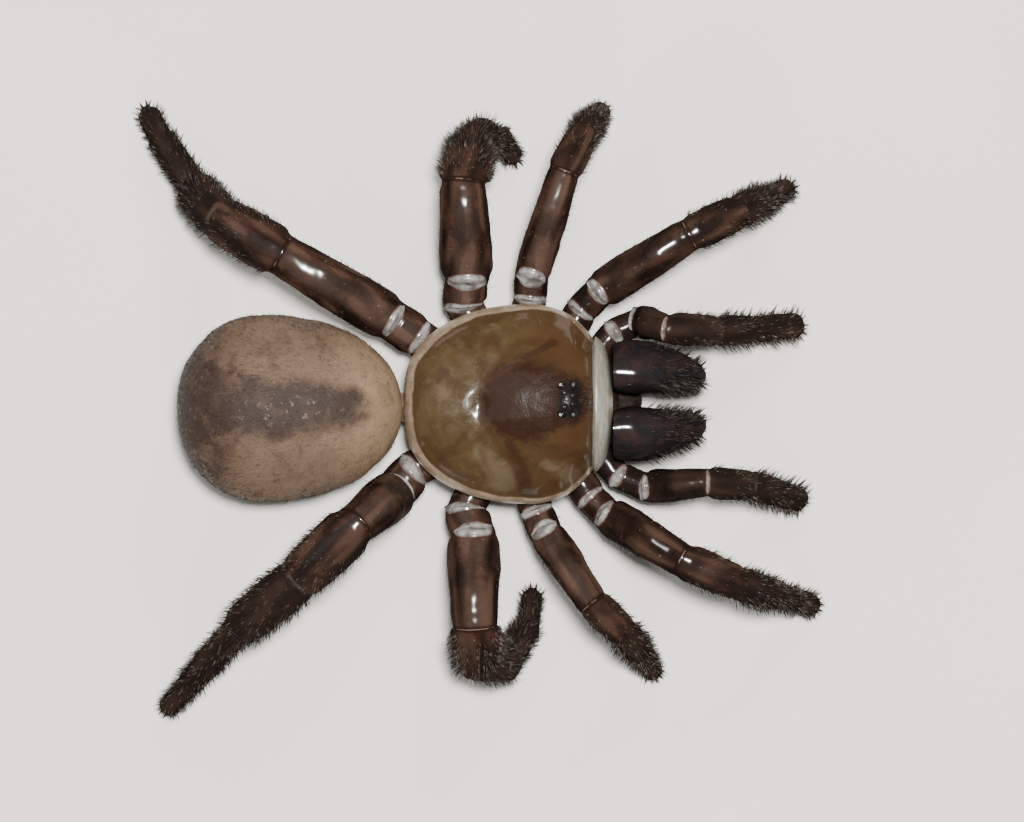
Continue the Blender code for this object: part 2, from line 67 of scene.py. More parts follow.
# x, half width, height over the rim
SHIELD_STATIONS = np.array((
    (-5.08, 0.6, 0.1), (-4.95, 1.9, 0.45), (-4.5, 3.0, 1.1), (-3.7, 4.0, 1.7), (-2.6, 4.8, 2.2),
    (-1.3, 5.4, 2.5), (-0.5, 5.65, 2.6), (0.2, 5.8, 2.75), (1.3, 5.95, 3.0), (2.6, 6.0, 3.2),
    (3.8, 5.8, 3.35), (4.8, 5.4, 3.45), (5.6, 4.75, 3.25), (6.25, 4.0, 2.85),
))
BAND_STATIONS = np.array((
    (6.2, 4.0, 2.75), (6.4, 4.05, 2.85), (6.7, 3.85, 2.75), (7.0, 3.4, 2.6), (7.25, 2.6, 2.35),
    (7.42, 1.3, 2.05),
))

# Middle x and y, half length, half width, height
HEAD_HUMP = (2.6, 0.6, 2.7, 2.6, 0.35)
PIT = (-0.45, 0.6, 0.6, 1.1, -0.24)
EYE_MOUND = (4.75, 0.84, 0.95, 1.5, 0.3)

# Place from the middle of the mound, radius, material, and how strong the pale spot on the lens is: partly a
# pearly eye, partly a painted glint
EYES = {
    "anterior_median": (0.24, 0.24, 0.2, "black_eye", 0.03),
    "anterior_lateral": (0.3, 0.83, 0.27, "clear_eye", 0.1),
    "posterior_median": (-0.2, 0.4, 0.18, "dull_eye", 0.08),
    "posterior_lateral": (-0.36, 0.83, 0.25, "pearl_glint_eye", 0.55),
}
EYE_LIFT = -0.06

# x, distance of the axis from the jaws' midline, its height, half width, half height
JAW_MIDLINE = 0.8
JAW_STATIONS = np.array((
    (7.45, 2.0, 5.64, 1.35, 2.46), (7.7, 2.0, 5.66, 1.5, 2.45), (8.5, 2.0, 5.67, 1.65, 2.41),
    (9.7, 1.98, 5.47, 1.55, 2.38), (11.0, 1.85, 4.95, 1.3, 2.15), (12.1, 1.65, 4.3, 0.95, 1.6),
    (12.8, 1.55, 3.85, 0.6, 1.05), (13.1, 1.5, 3.65, 0.2, 0.35),
))

# x, height, radius, from root to tip
FANG_STATIONS = np.array((
    (12.35, 2.25, 0.42), (12.3, 1.75, 0.42), (11.5, 1.35, 0.38), (10.3, 1.25, 0.3),
    (9.2, 1.45, 0.18), (8.6, 1.7, 0.04),
))
FANG_OFFSET = 1.6

ABDOMEN_WIDEST_X = -13.4
ABDOMEN_FRONT_X = -5.15
ABDOMEN_REAR_X = -18.7
ABDOMEN_Y = 0.36
ABDOMEN_Z = 5.1
ABDOMEN_HALF = (5.5, 4.55)
ABDOMEN_BLUNTNESS = 2.1

# Radius of each segment, and the segments' joints from hip to tip
GIRTH = {
    "palp": (0.85, 0.85, 0.95, 0.95, 0.9, 0.8),
    "leg_1": (1.05, 1.0, 1.15, 1.1, 1.0, 0.8, 0.7),
    "leg_2": (1.05, 1.05, 1.05, 1.0, 0.95, 0.8, 0.65),
    "leg_3": (1.15, 1.35, 1.5, 1.5, 1.3, 0.9, 0.65),
    "leg_4": (1.15, 1.3, 1.4, 1.5, 1.35, 0.9, 0.7),
}
POSE = {
    "palp_left": (
        (5.7, 2.5, 3.0), (7.5, 4.9, 3.0), (9.1, 5.6, 3.2), (10.7, 5.1, 6.2),
        (13.7, 5.0, 4.8), (15.9, 5.1, 2.6), (19.1, 5.4, 0.45)),
    "palp_right": (
        (5.8, -1.4, 3.0), (7.8, -3.7, 3.0), (9.5, -4.4, 3.4), (13.1, -4.1, 5.8),
        (15.7, -4.3, 4.3), (17.3, -4.7, 2.5), (19.1, -5.3, 0.45)),
    "leg_1_left": (
        (3.8, 3.1, 3.2), (5.6, 6.3, 3.3), (6.7, 7.4, 4.1), (12.0, 10.7, 7.2),
        (14.9, 12.1, 6.2), (16.6, 12.9, 3.2), (17.2, 13.2, 1.4), (18.5, 13.9, 0.45)),
    "leg_1_right": (
        (4.1, -2.1, 3.2), (6.2, -5.1, 3.3), (7.2, -6.1, 4.1), (11.6, -8.7, 8.0),
        (14.9, -10.1, 7.2), (17.2, -10.9, 4.3), (18.6, -11.3, 1.8), (20.0, -11.7, 0.45)),
    "leg_2_left": (
        (1.9, 3.7, 3.2), (2.5, 7.0, 3.3), (2.6, 8.4, 4.1), (4.5, 14.4, 7.4),
        (5.6, 16.7, 5.4), (6.2, 17.6, 3.0), (6.5, 18.0, 1.5), (7.0, 18.6, 0.45)),
    "leg_2_right": (
        (2.0, -2.6, 3.2), (2.9, -5.9, 3.3), (3.5, -7.2, 4.1), (6.2, -11.2, 8.0),
        (8.0, -13.0, 6.2), (9.1, -14.3, 3.4), (9.5, -15.0, 1.6), (10.2, -15.9, 0.45)),
    "leg_3_left": (
        (0.0, 3.7, 3.2), (-1.5, 6.6, 3.3), (-1.3, 8.2, 4.1), (-1.5, 13.8, 7.2),
        (-1.1, 16.0, 5.2), (-0.2, 16.7, 3.2), (0.9, 16.4, 1.4), (1.7, 15.3, 0.45)),
    "leg_3_right": (
        (0.1, -2.6, 3.2), (-1.4, -5.8, 3.3), (-0.9, -7.3, 4.1), (-0.8, -12.6, 7.4),
        (-0.6, -14.7, 5.2), (1.1, -14.9, 3.2), (2.4, -12.8, 1.4), (2.7, -10.6, 0.45)),
    "leg_4_left": (
        (-1.6, 2.9, 3.2), (-4.2, 4.6, 3.3), (-5.9, 5.7, 3.9), (-12.3, 9.5, 7.9),
        (-16.1, 11.7, 5.6), (-17.8, 13.6, 1.9), (-20.0, 16.9, 0.9), (-20.9, 18.7, 0.45)),
    "leg_4_right": (
        (-1.5, -1.8, 3.2), (-4.5, -3.3, 3.3), (-5.6, -4.7, 3.4), (-7.9, -6.6, 9.8),
        (-11.3, -9.8, 8.0), (-15.0, -12.9, 5.4), (-18.1, -16.3, 2.2), (-19.7, -18.1, 0.45)),
}

# Looks of the limbs: gloss at each joint, widths of the membranes at the hip and next to it, rows of
# spines as segment: (turn from the top in degrees, number on a side, length)
GLOSS = {
    "palp": (0.6, 0.8, 0.9, 0.9, 0.6, 0.15, 0.1),
    "leg_1": (0.6, 0.8, 1.0, 0.9, 0.35, 0.12, 0.05, 0.05),
    "leg_2": (0.6, 0.8, 1.0, 0.9, 0.35, 0.12, 0.05, 0.05),
    "leg_3": (0.6, 0.8, 1.0, 0.6, 0.15, 0.08, 0.05, 0.05),
    "leg_4": (0.6, 0.8, 1.0, 0.9, 0.6, 0.25, 0.1, 0.05),
}
MEMBRANES = {"leg_2": (0.75, 0.42, 1.0), "leg_3": (0.6, 0.3, 1.1)}
PLAIN_MEMBRANES = (0.55, 0.24, 0.85)
SPINES = {
    "palp": {4: (82, 8, 0.66), 5: (86, 12, 0.74)},
    "leg_1": {4: (90, 6, 0.62), 5: (88, 5, 0.6), 6: (86, 3, 0.5)},
    "leg_2": {4: (92, 5, 0.55), 5: (88, 4, 0.5), 6: (86, 2, 0.45)},
    "leg_3": {3: (64, 7, 0.5), 4: (76, 5, 0.55), 5: (86, 4, 0.5)},
    "leg_4": {4: (102, 6, 0.6), 5: (96, 6, 0.55), 6: (92, 3, 0.45)},
}

# Marks on the shield: start, end, width, strength. Grooves are mirrored about its midline.
GROOVES = (
    ((-0.3, 1.3), (3.2, 4.5), 0.34, 1.0), ((-0.3, 1.1), (5.3, 3.5), 0.26, 0.55),
    ((-0.5, 1.5), (0.6, 5.0), 0.34, 0.7), ((-0.8, 1.3), (-2.4, 4.0), 0.32, 0.6),
    ((-1.0, 0.9), (-4.0, 2.4), 0.30, 0.5),
)
DARK_STREAKS = (
    ((1.3, -1.6), (2.5, -5.2), 0.5, 0.85), ((2.1, 3.3), (3.9, 4.25), 0.22, 1.0),
    ((3.2, -1.9), (5.9, -2.6), 0.5, 0.45), ((1.0, 2.9), (0.4, 4.6), 0.35, 0.4),
    ((-1.4, -1.2), (-3.2, -3.0), 0.4, 0.35),
)
PALE_STREAKS = (
    ((-0.4, -2.3), (0.9, -3.9), 0.75, 1.0), ((3.4, -2.9), (5.0, -3.9), 0.6, 0.6),
    ((-2.9, 1.3), (-1.9, 0.3), 0.8, 0.55), ((0.5, 4.9), (1.0, 4.4), 0.4, 0.35),
)


# Numbers and forms

def unit(vectors):
    vectors = np.asarray(vectors, float)
    return vectors / np.maximum(np.linalg.norm(vectors, axis=-1, keepdims=True), 1e-12)


def smooth(value):
    value = np.clip(value, 0.0, 1.0)
    return value * value * (3 - 2 * value)


def bell(value):
    return np.exp(-value ** 2)


def rows(*columns):
    """The columns side by side, such as x, y and z as points."""
    return np.stack(np.broadcast_arrays(*columns), axis=-1)


def turns(count):
    return np.linspace(0, 2 * math.pi, count, endpoint=False)


def wrapped(turn):
    return (turn + math.pi) % (2 * math.pi) - math.pi


def places_along(low, high, count, rear=(0.0, 1), front=(0.0, 1)):
    """Places from low to high, with a rounded run of a given length and count before and after."""
    before, after = (np.linspace(0, math.pi / 2, steps) for _, steps in (rear, front))
    return np.concatenate((low - rear[0] * np.cos(before)[:-1], np.linspace(low, high, count),
                           high + front[0] * np.sin(after)[1:]))


def curve(stations, x, column):
    """Smooth curve through one column of the stations, without overshoot."""
    xs = stations[:, 0]
    ys = stations[:, column]
    steps = np.diff(ys) / np.diff(xs)
    slopes = np.empty_like(ys)
    slopes[1:-1] = np.where(steps[1:] * steps[:-1] > 0,
                            2 * steps[1:] * steps[:-1] / (steps[1:] + steps[:-1] + 1e-12), 0.0)
    slopes[0] = steps[0]
    slopes[-1] = steps[-1]
    x = np.clip(x, xs[0], xs[-1])
    i = np.clip(np.searchsorted(xs, x) - 1, 0, len(xs) - 2)
    width = xs[i + 1] - xs[i]
    t = (x - xs[i]) / width
    near = ys[i] * (2 * t ** 3 - 3 * t ** 2 + 1) + slopes[i] * width * (t ** 3 - 2 * t ** 2 + t)
    far = ys[i + 1] * (3 * t ** 2 - 2 * t ** 3) + slopes[i + 1] * width * (t ** 3 - t ** 2)
    return near + far


def waves(points, scale, seed):
    """Soft random field from -1 to 1 over the points, made of summed waves."""
    draw = np.random.default_rng(seed)
    total = np.zeros(points.shape[:-1])
    for _ in range(14):
        direction = unit(draw.normal(size=3))
        pitch = draw.uniform(0.6, 1.7) / scale
        total += np.sin(points @ direction * pitch * 2 * math.pi + draw.uniform(0, 6.28))
    return total / 7


def ring_faces(rings, sides, closed=False):
    """Quads between rings of points. The last ring meets the first, or both ends get a cap."""
    i = np.arange(rings if closed else rings - 1)[:, None]
    j = np.arange(sides)
    k = (j + 1) % sides
    here = i * sides
    there = (i + 1) % rings * sides
    quads = rows(here + j, here + k, there + k, there + j).reshape(-1, 4)
    caps = np.stack((j[::-1], (rings - 1) * sides + j))
    return [quads] if closed else [quads, caps]


def loft(rings, closed=False):
    """Closed form through rings of points, with its faces turned outwards."""
    points = rings.reshape(-1, 3)
    faces = ring_faces(*rings.shape[:2], closed)
    a, b, c, d = (points[faces[0][:, i]] for i in range(4))
    volume = np.einsum("ij,ij->i", a, np.cross(b, c) + np.cross(c, d)).sum()
    if volume < 0:
        faces = [block[:, ::-1] for block in faces]
    return points, faces


def tube(path, radii, sides, flat=1.0):
    """Round closed form along a path."""
    ways = unit(np.gradient(path, axis=0))
    across = unit(np.cross(ways, UP + (0.01, 0.013, 0)))
    upward = np.cross(across, ways)
    turn = turns(sides)[:, None]
    ring = across[:, None] * np.cos(turn) + upward[:, None] * (flat * np.sin(turn))
    return loft(path[:, None] + ring * radii[:, None, None])


def fuller(cos, sin, power):
    """Factor that makes a round outline a fuller oval."""
    return 1 / (np.abs(cos) ** power + np.abs(sin) ** power) ** (1 / power)


def plate(centre, halves, levels, count, power=2.0):
    """Closed upright form with an oval outline; levels give height and share of the outline."""
    spin = turns(count)
    cos, sin = np.cos(spin), np.sin(spin)
    square = fuller(cos, sin, power)
    z, share = np.transpose(levels)[:, :, None]
    return loft(rows(centre[0] + halves[0] * share * cos * square,
                     centre[1] + halves[1] * share * sin * square, z))


def joined(forms):
    """Several forms as one."""
    offset = 0
    groups = {}
    for points, faces in forms:
        for block in faces:
            groups.setdefault(block.shape[1], []).append(block + offset)
        offset += len(points)
    return np.concatenate([form[0] for form in forms]), [np.concatenate(blocks) for blocks in groups.values()]


def new_object(name, points, faces, material):
    """Smooth mesh object from points in metres."""
    mesh = bpy.data.meshes.new(name)
    counts = np.concatenate([np.full(len(block), block.shape[1], np.int32) for block in faces])
    corners = np.concatenate([block.ravel() for block in faces]).astype(np.int32)
    mesh.vertices.add(len(points))
    mesh.vertices.foreach_set("co", points.ravel())
    mesh.loops.add(len(corners))
    mesh.loops.foreach_set("vertex_index", corners)
    mesh.polygons.add(len(counts))
    mesh.polygons.foreach_set("loop_start", (np.cumsum(counts) - counts).astype(np.int32))
    mesh.polygons.foreach_set("loop_total", counts)
    mesh.update(calc_edges=True)
    mesh.validate()
    mesh.shade_smooth()
    mesh.materials.append(material)
    item = bpy.data.objects.new(name, mesh)
    bpy.context.scene.collection.objects.link(item)
    return item


def mesh_piece(name, form, material, replaces=(), fields=None, uvs=None):
    """One object from a form in millimetres, riding on the body."""
    item = new_object(name, (form[0] + SHIFT) * MM, form[1], material)
    for field, values in (fields or {}).items():
        layer = item.data.attributes.new(field, "FLOAT", "POINT")
        layer.data.foreach_set("value", np.asarray(values, np.float32).ravel())
    if uvs is not None:
        layer = item.data.uv_layers.new(name="OFBake")
        layer.data.foreach_set("uv", np.asarray(uvs, np.float32).ravel())
    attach(item, "root")
    if replaces:
        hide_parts(*replaces)


# Coats

class Coat:
    """Many thin tapered bristles, gathered and then joined into one closed-form mesh."""

    def __init__(self):
        self.points = []
        self.faces = []
        self.uvs = []
        self.total = 0

    def add(self, roots, ways, bends, lengths, radii, spots, rings=2, sunk=0.06):
        """Bristles from roots along ways, bent towards bends; spots are their places in the UVs."""
        count = len(roots)
        if not count:
            return
        radii = np.broadcast_to(radii, count)
        ways = unit(ways)
        side = unit(np.cross(ways, UP + (0.21, 0.13, 0.0)))
        other = np.cross(ways, side)
        turn = turns(3)[:, None]
        star = side[:, None] * np.cos(turn) + other[:, None] * np.sin(turn)
        levels = []
        faces = [(2, 1, 0)]
        for level in range(rings):
            share = level / rings
            spine = roots + ways * (lengths * share - (sunk if level == 0 else 0.0))[:, None]
            spine = spine + bends * (lengths * share ** 2)[:, None]
            levels.append(spine[:, None] + star * (radii * (1 - 0.75 * share))[:, None, None])
            base = 3 * level
            for i in range(3):
                j = (i + 1) % 3
                if level < rings - 1:
                    faces += [(base + i, base + j, base + 3 + j), (base + i, base + 3 + j, base + 3 + i)]
                else:
                    faces.append((base + i, base + j, 3 * rings))
        tip = roots + ways * lengths[:, None] + bends * lengths[:, None]
        block = np.concatenate(levels + [tip[:, None]], axis=1)
        starts = (self.total + np.arange(count) * block.shape[1])[:, None, None]
        self.points.append(block.reshape(-1, 3))
        self.faces.append((starts + np.array(faces)).reshape(-1, 3))
        patch = np.array(((0.0, 0.0), (0.0026, 0.0), (0.0013, 0.0026)))
        corners = np.asarray(spots)[..., None, None, :] + patch
        self.uvs.append(np.broadcast_to(corners, (count, len(faces), 3, 2)).reshape(-1, 2))
        self.total += len(block) * block.shape[1]

    def piece(self, name, material, marks=None):
        """The coat as an object, kept over the floor; marks gives the fields for its points."""
        points = np.concatenate(self.points)
        points[:, 2] = np.maximum(points[:, 2], 0.02)
        mesh_piece(name, (points, [np.concatenate(self.faces)]), material,
                   fields=marks(points) if marks else None, uvs=np.clip(np.concatenate(self.uvs), 0.0, 1.0))


# Materials

class Shade:
    """A number or colour inside a material. Working with it adds nodes."""

    def __init__(self, paint, socket):
        self.paint = paint
        self.socket = socket

    def __add__(self, other):
        return self.paint.math("ADD", self, other)

    def __sub__(self, other):
        return self.paint.math("SUBTRACT", self, other)

    def __mul__(self, other):
        return self.paint.math("MULTIPLY", self, other)

    def span(self, low, high, out_low=0.0, out_high=1.0):
        """Soft step from low to high."""
        inputs = {"Value": self, "From Min": low, "From Max": high, "To Min": out_low, "To Max": out_high}
        return self.paint.node("MapRange", "Result", inputs, interpolation_type="SMOOTHSTEP")


class Paint:
    """Builds one procedural material. Lengths inside it are in millimetres."""

    def __init__(self, name):
        self.material = bpy.data.materials.new(name)
        self.material.use_nodes = True
        self.tree = self.material.node_tree
        self.shader = self.tree.nodes["Principled BSDF"]
        metres = self.node("TexCoord", "Object", {})
        self.place = self.node("VectorMath", 0, {0: metres, "Scale": 1 / MM}, operation="SCALE")

    def put(self, socket, value):
        if isinstance(value, Shade):
            self.tree.links.new(value.socket, socket)
        elif socket.type == "RGBA":
            socket.default_value = (*value, 1.0)
        else:
            socket.default_value = value

    def node(self, kind, output, inputs, **settings):
        """A new node, as the shade of one of its outputs."""
        node = self.tree.nodes.new("ShaderNode" + kind)
        for name, value in settings.items():
            setattr(node, name, value)
        for key, value in inputs.items():
            self.put(node.inputs[key], value)
        return Shade(self, node.outputs[output])

    def noise(self, scale, detail=3.0, rough=0.55, bend=0.0, stretch=None):
        place = self.place
        if stretch:
            place = self.node("Mapping", "Vector", {"Vector": place, "Scale": stretch})
        return self.node("TexNoise", "Fac", {"Vector": place, "Scale": scale, "Detail": detail,
                                             "Roughness": rough, "Distortion": bend})

    def cells(self, scale):
        return self.node("TexVoronoi", "Distance", {"Vector": self.place, "Scale": scale})

    def field(self, name):
        return self.node("Attribute", "Fac", {}, attribute_name=name)

    def math(self, operation, a, b):
        return self.node("Math", 0, {0: a, 1: b}, operation=operation)

    def layers(self, colour, *coats):
        """A colour with coats of other colours over it, each as a share and a colour."""
        for share, over in coats:
            colour = self.node("Mix", 2, {0: share, 6: colour, 7: over}, data_type="RGBA")
        return colour

    def bump(self, height, depth, strength=1.0):
        return self.node("Bump", "Normal", {"Strength": strength, "Distance": depth * MM, "Height": height})

    def finish(self, colour, roughness, normal=None, **others):
        inputs = {"Base Color": colour, "Roughness": roughness, "Normal": normal, **others}
        for name, value in inputs.items():
            if value is not None:
                self.put(self.shader.inputs[name.replace("_", " ")], value)
        return self.material


def cuticle_material():
    """Dark red-brown leg shell with silvery joint membranes, pale hinge lines, a painted sheen along its top
    and painted glint specks.
    """
    paint = Paint("cuticle")
    hinge, dorsal, outer = paint.field("hinge"), paint.field("dorsal"), paint.field("outer")
    streak, gloss = paint.field("streak"), paint.field("gloss")
    grain = paint.noise(7.0, 3.0, 0.6)
    folds = paint.noise(1.5, 3.0, 0.55, 0.8)
    # Painted sheen: a lighter colour along the top of the inner parts, standing in for a soft reflection.
    painted_sheen = dorsal.span(0.75, 1.0) * outer.span(0.3, 0.0, 0.0, 0.17)
    wavy = paint.field("membrane") + paint.noise(1.6).span(0.3, 0.7, -0.03, 0.03)
    broken = paint.noise(1.1, 1.0).span(0.49, 0.57, 0.0, 0.8)
    # Sparse specks: glossy spots in the coat, and pale dots in the colour that are painted glints.
    glossy_and_painted_glint_specks = paint.cells(2.3).span(0.05, 0.14, 0.8, 0.0) * folds.span(0.45, 0.6)
    silver = paint.layers(
        (0.095, 0.083, 0.076),
        (paint.noise(1.5, 4.0, 0.6, 0.5).span(0.35, 0.65), (0.26, 0.243, 0.232)),
        (wavy.span(0.22, 0.03, 0.0, 0.7), (0.075, 0.055, 0.046)))
    colour = paint.layers(
        (0.0165, 0.0090, 0.0070),
        (paint.noise(0.7, 4.0, 0.6, 0.4).span(0.35, 0.75), (0.043, 0.0210, 0.0142)),
        (dorsal.span(0.1, -0.9, 0.0, 0.6), (0.075, 0.034, 0.017)),
        (grain.span(0.5, 0.75, 0.0, 0.35), (0.007, 0.0042, 0.0036)),
        (streak.span(0.0, 0.45, 0.0, 0.75), (0.0058, 0.0036, 0.0031)),
        (streak.span(-0.1, -0.6, 0.0, 0.65), (0.066, 0.037, 0.027)),
        (outer * 0.75, (0.0100, 0.0070, 0.0058)),
        # Painted sheen along the top of the parts.
        (painted_sheen * gloss, (0.115, 0.082, 0.066)),
        (wavy.span(-0.2, -0.05, 0.0, 0.3), (0.042, 0.0140, 0.0095)),
        (wavy.span(-0.02, 0.08), silver),
        (hinge.span(-0.16, -0.02, 0.0, 0.8), (0.0085, 0.0046, 0.0038)),
        (hinge.span(0.0, 0.02) * broken, (0.12, 0.080, 0.058)),
        (paint.field("seam").span(0.0, 0.02, 0.0, 0.8), (0.24, 0.150, 0.085)),
        # Painted glints: pale dots at the specks.
        (glossy_and_painted_glint_specks * gloss, (0.17, 0.145, 0.135)))
    pores = paint.cells(5.5).span(0.0, 0.14, 1.0, 0.0)
    level = paint.field("facing").span(0.78, 0.93, 0.04, 1.0)
    return paint.finish(colour, grain.span(0.3, 0.8, 0.4, 0.6),
                        paint.bump(grain * 0.16 + pores * 0.25 + folds * 1.6, 0.07, 0.8),
                        Specular_IOR_Level=0.0, Coat_Weight=gloss * paint.math("MAXIMUM", level, glossy_and_painted_glint_specks),
                        Coat_Roughness=0.16)


def shield_material():
    """Glossy olive-brown shield with a dark head patch, grooves and a pale rim."""
    paint = Paint("shield")
    cloud = paint.noise(1.6, 4.0, 0.6, 0.4)

    def ragged(name, depth):
        return paint.field(name) + cloud.span(0.3, 0.7, -depth, depth)

    rim = paint.field("rim") + paint.noise(0.6).span(0.3, 0.7, -0.05, 0.05)
    pale = paint.layers((0.125, 0.086, 0.054), (cloud.span(0.3, 0.7), (0.205, 0.152, 0.108)))
    colour = paint.layers(
        (0.037, 0.0215, 0.0088),
        (paint.noise(0.5, 5.0, 0.6, 0.8).span(0.35, 0.65), (0.058, 0.037, 0.0160)),
        (cloud.span(0.5, 0.8, 0.0, 0.6), (0.073, 0.051, 0.027)),
        (paint.field("fore") * 0.8, (0.043, 0.0195, 0.0078)),
        (ragged("patch", 0.3).span(-0.5, 0.4, 0.0, 0.93), (0.0185, 0.0080, 0.0048)),
        (ragged("washed", 0.2).span(0.1, 0.9, 0.0, 0.7), (0.092, 0.069, 0.042)),
        (ragged("stain", 0.15).span(0.1, 0.8, 0.0, 0.75), (0.0225, 0.0098, 0.0046)),
        (paint.field("groove").span(0.1, 1.0, 0.0, 0.6), (0.036, 0.0175, 0.007)),
        (ragged("ocular", 0.12).span(-0.1, 0.35, 0.0, 0.95), (0.007, 0.0055, 0.0055)),
        (rim.span(0.72, 0.5) * rim.span(0.3, 0.42) * 0.5, (0.045, 0.025, 0.011)),
        (rim.span(0.45, 0.33), pale))
    pits = paint.cells(3.4).span(0.0, 0.16, 1.0, 0.0)
    height = paint.noise(9.0, 2.0, 0.5) * 0.25 + cloud * 1.4 - pits * 0.3
    return paint.finish(colour, cloud.span(0.3, 0.8, 0.28, 0.42), paint.bump(height, 0.06, 0.7),
                        Specular_IOR_Level=0.11, Coat_Roughness=0.12,
                        Coat_Weight=paint.field("ocular").span(-0.1, 0.4, 0.55, 0.04))


def ivory_material():
    paint = Paint("ivory_membrane")
    fibres = paint.noise(1.0, 4.0, 0.6, 0.3, stretch=(6.0, 0.5, 2.0))
    cloud = paint.noise(1.2, 3.0)
    colour = paint.layers(
        (0.15, 0.136, 0.108),
        (fibres.span(0.3, 0.7), (0.235, 0.222, 0.19)),
        (cloud.span(0.45, 0.75, 0.0, 0.45), (0.115, 0.098, 0.075)),
        (paint.field("low").span(0.5, 0.0, 0.0, 0.85), (0.085, 0.060, 0.040)))
    return paint.finish(colour, cloud.span(0.3, 0.7, 0.3, 0.45), paint.bump(fibres, 0.05, 0.6),
                        Coat_Weight=0.25, Coat_Roughness=0.2)


def abdomen_paint(name):
    """Mottled velvet: pale front and flanks, dark stripe on top and dark rear."""
    paint = Paint(name)
    cloud = paint.noise(0.55, 4.0, 0.6, 0.5)
    fleck = paint.noise(2.6, 4.0, 0.7)
    wander = cloud.span(0.3, 0.7, -0.35, 0.35)
    colour = paint.layers(
        (0.079, 0.048, 0.031),
        (cloud.span(0.3, 0.7), (0.137, 0.089, 0.058)),
        (paint.field("front") * cloud.span(0.2, 0.8, 0.6, 1.0), (0.215, 0.145, 0.087)),
        ((paint.field("stripe") + wander).span(0.0, 1.1, 0.0, 0.95), (0.0235, 0.0142, 0.0108)),
        ((paint.field("rear") + wander).span(0.0, 1.1, 0.0, 0.95), (0.024, 0.0115, 0.0078)),
        (paint.field("belly") * 0.5, (0.12, 0.076, 0.048)),
        (paint.field("lung").span(0.2, 0.6, 0.0, 0.8), (0.22, 0.155, 0.088)),
        (fleck.span(0.55, 0.75, 0.0, 0.35), (0.150, 0.098, 0.070)),
        (fleck.span(0.45, 0.3, 0.0, 0.45), (0.026, 0.0145, 0.0105)))
    return paint, colour, fleck


def abdomen_material():
    paint, colour, fleck = abdomen_paint("velvet_skin")
    pores = paint.cells(4.6).span(0.0, 0.2, 1.0, 0.0)
    height = paint.noise(1.4, 5.0, 0.65, 0.5) + pores * 0.35 + fleck * 0.6
    return paint.finish(colour, fleck.span(0.58, 0.66, 0.7, 0.34), paint.bump(height, 0.09, 0.8),
                        Specular_IOR_Level=0.3)


def pile_material():
    """Short hairs of the abdomen, in the same markings as its skin."""
    paint, colour, fleck = abdomen_paint("velvet_pile")
    tint = paint.layers(colour, (fleck.span(0.3, 0.7, 0.05, 0.3), (0.13, 0.092, 0.070)))
    return paint.finish(tint, 0.5, Specular_IOR_Level=0.06)


def jaw_material():
    paint = Paint("jaw")
    grain = paint.noise(5.0, 4.0, 0.6)
    blotch = paint.noise(0.9, 3.0, 0.6, 0.5).span(0.4, 0.75)
    colour = paint.layers((0.0095, 0.0080, 0.0085), (blotch, (0.024, 0.0135, 0.0122)))
    lines = paint.noise(1.0, 3.0, 0.6, 0.2, stretch=(0.25, 2.2, 2.2))
    return paint.finish(colour, grain.span(0.3, 0.8, 0.25, 0.4),
                        paint.bump(grain * 0.2 + lines * 1.5, 0.06, 0.7),
                        Specular_IOR_Level=0.0, Coat_Roughness=0.13,
                        Coat_Weight=paint.field("facing").span(0.72, 0.93, 0.04, 0.9))


def fang_material():
    paint = Paint("fang")
    along = paint.noise(1.2, 3.0, 0.5, 0.3, stretch=(0.5, 2.5, 2.5))
    colour = paint.layers((0.012, 0.006, 0.005), (along.span(0.35, 0.7), (0.060, 0.012, 0.008)))
    return paint.finish(colour, 0.3, paint.bump(along, 0.02, 0.5), Specular_IOR_Level=0.0,
                        Coat_Weight=0.12, Coat_Roughness=0.15)


def underside_material():
    paint = Paint("underside_plate")
    cloud = paint.noise(0.9, 4.0, 0.6, 0.6)
    grain = paint.noise(6.0, 3.0, 0.6)
    colour = paint.layers(
        (0.105, 0.045, 0.020),
        (cloud.span(0.3, 0.7), (0.20, 0.098, 0.045)),
        (grain.span(0.55, 0.8, 0.0, 0.5), (0.055, 0.024, 0.012)))
    return paint.finish(colour, grain.span(0.3, 0.8, 0.25, 0.42), paint.bump(cloud + grain * 0.3, 0.05, 0.6),
                        Coat_Weight=0.2, Coat_Roughness=0.2)


def soft_material():
    """Wrinkled skin of the waist, of the body's sides and of the spinnerets."""
    paint = Paint("soft_skin")
    folds = paint.noise(1.5, 3.0, 0.6, 0.4, stretch=(2.5, 1.0, 1.0))
    colour = paint.layers(
        (0.15, 0.085, 0.050),
        (paint.noise(1.1, 4.0, 0.6, 0.6).span(0.3, 0.7), (0.27, 0.175, 0.11)),
        (folds.span(0.5, 0.25, 0.0, 0.6), (0.075, 0.038, 0.024)))
    return paint.finish(colour, 0.42, paint.bump(folds, 0.12, 0.8), Coat_Weight=0.15, Coat_Roughness=0.3)


def eye_material(name, pearl_and_glint):
    """A black lens with a pale spot, partly the pearly middle of the eyes that see at night and partly a
    painted glint.
    """
    paint = Paint(name)
    cloud = paint.noise(6.0, 2.0)
    colour = paint.layers(
        (0.004, 0.004, 0.0045),
        (cloud.span(0.35, 0.65), (0.014, 0.013, 0.0125)),
        # Pale spot: partly pearly eye, partly a painted glint.
        (paint.field("middle").span(0.0, 1.0, 0.0, pearl_and_glint), (0.55, 0.56, 0.55)))
    return paint.finish(colour, 0.16, paint.bump(cloud, 0.004, 0.3), Specular_IOR_Level=0.14)


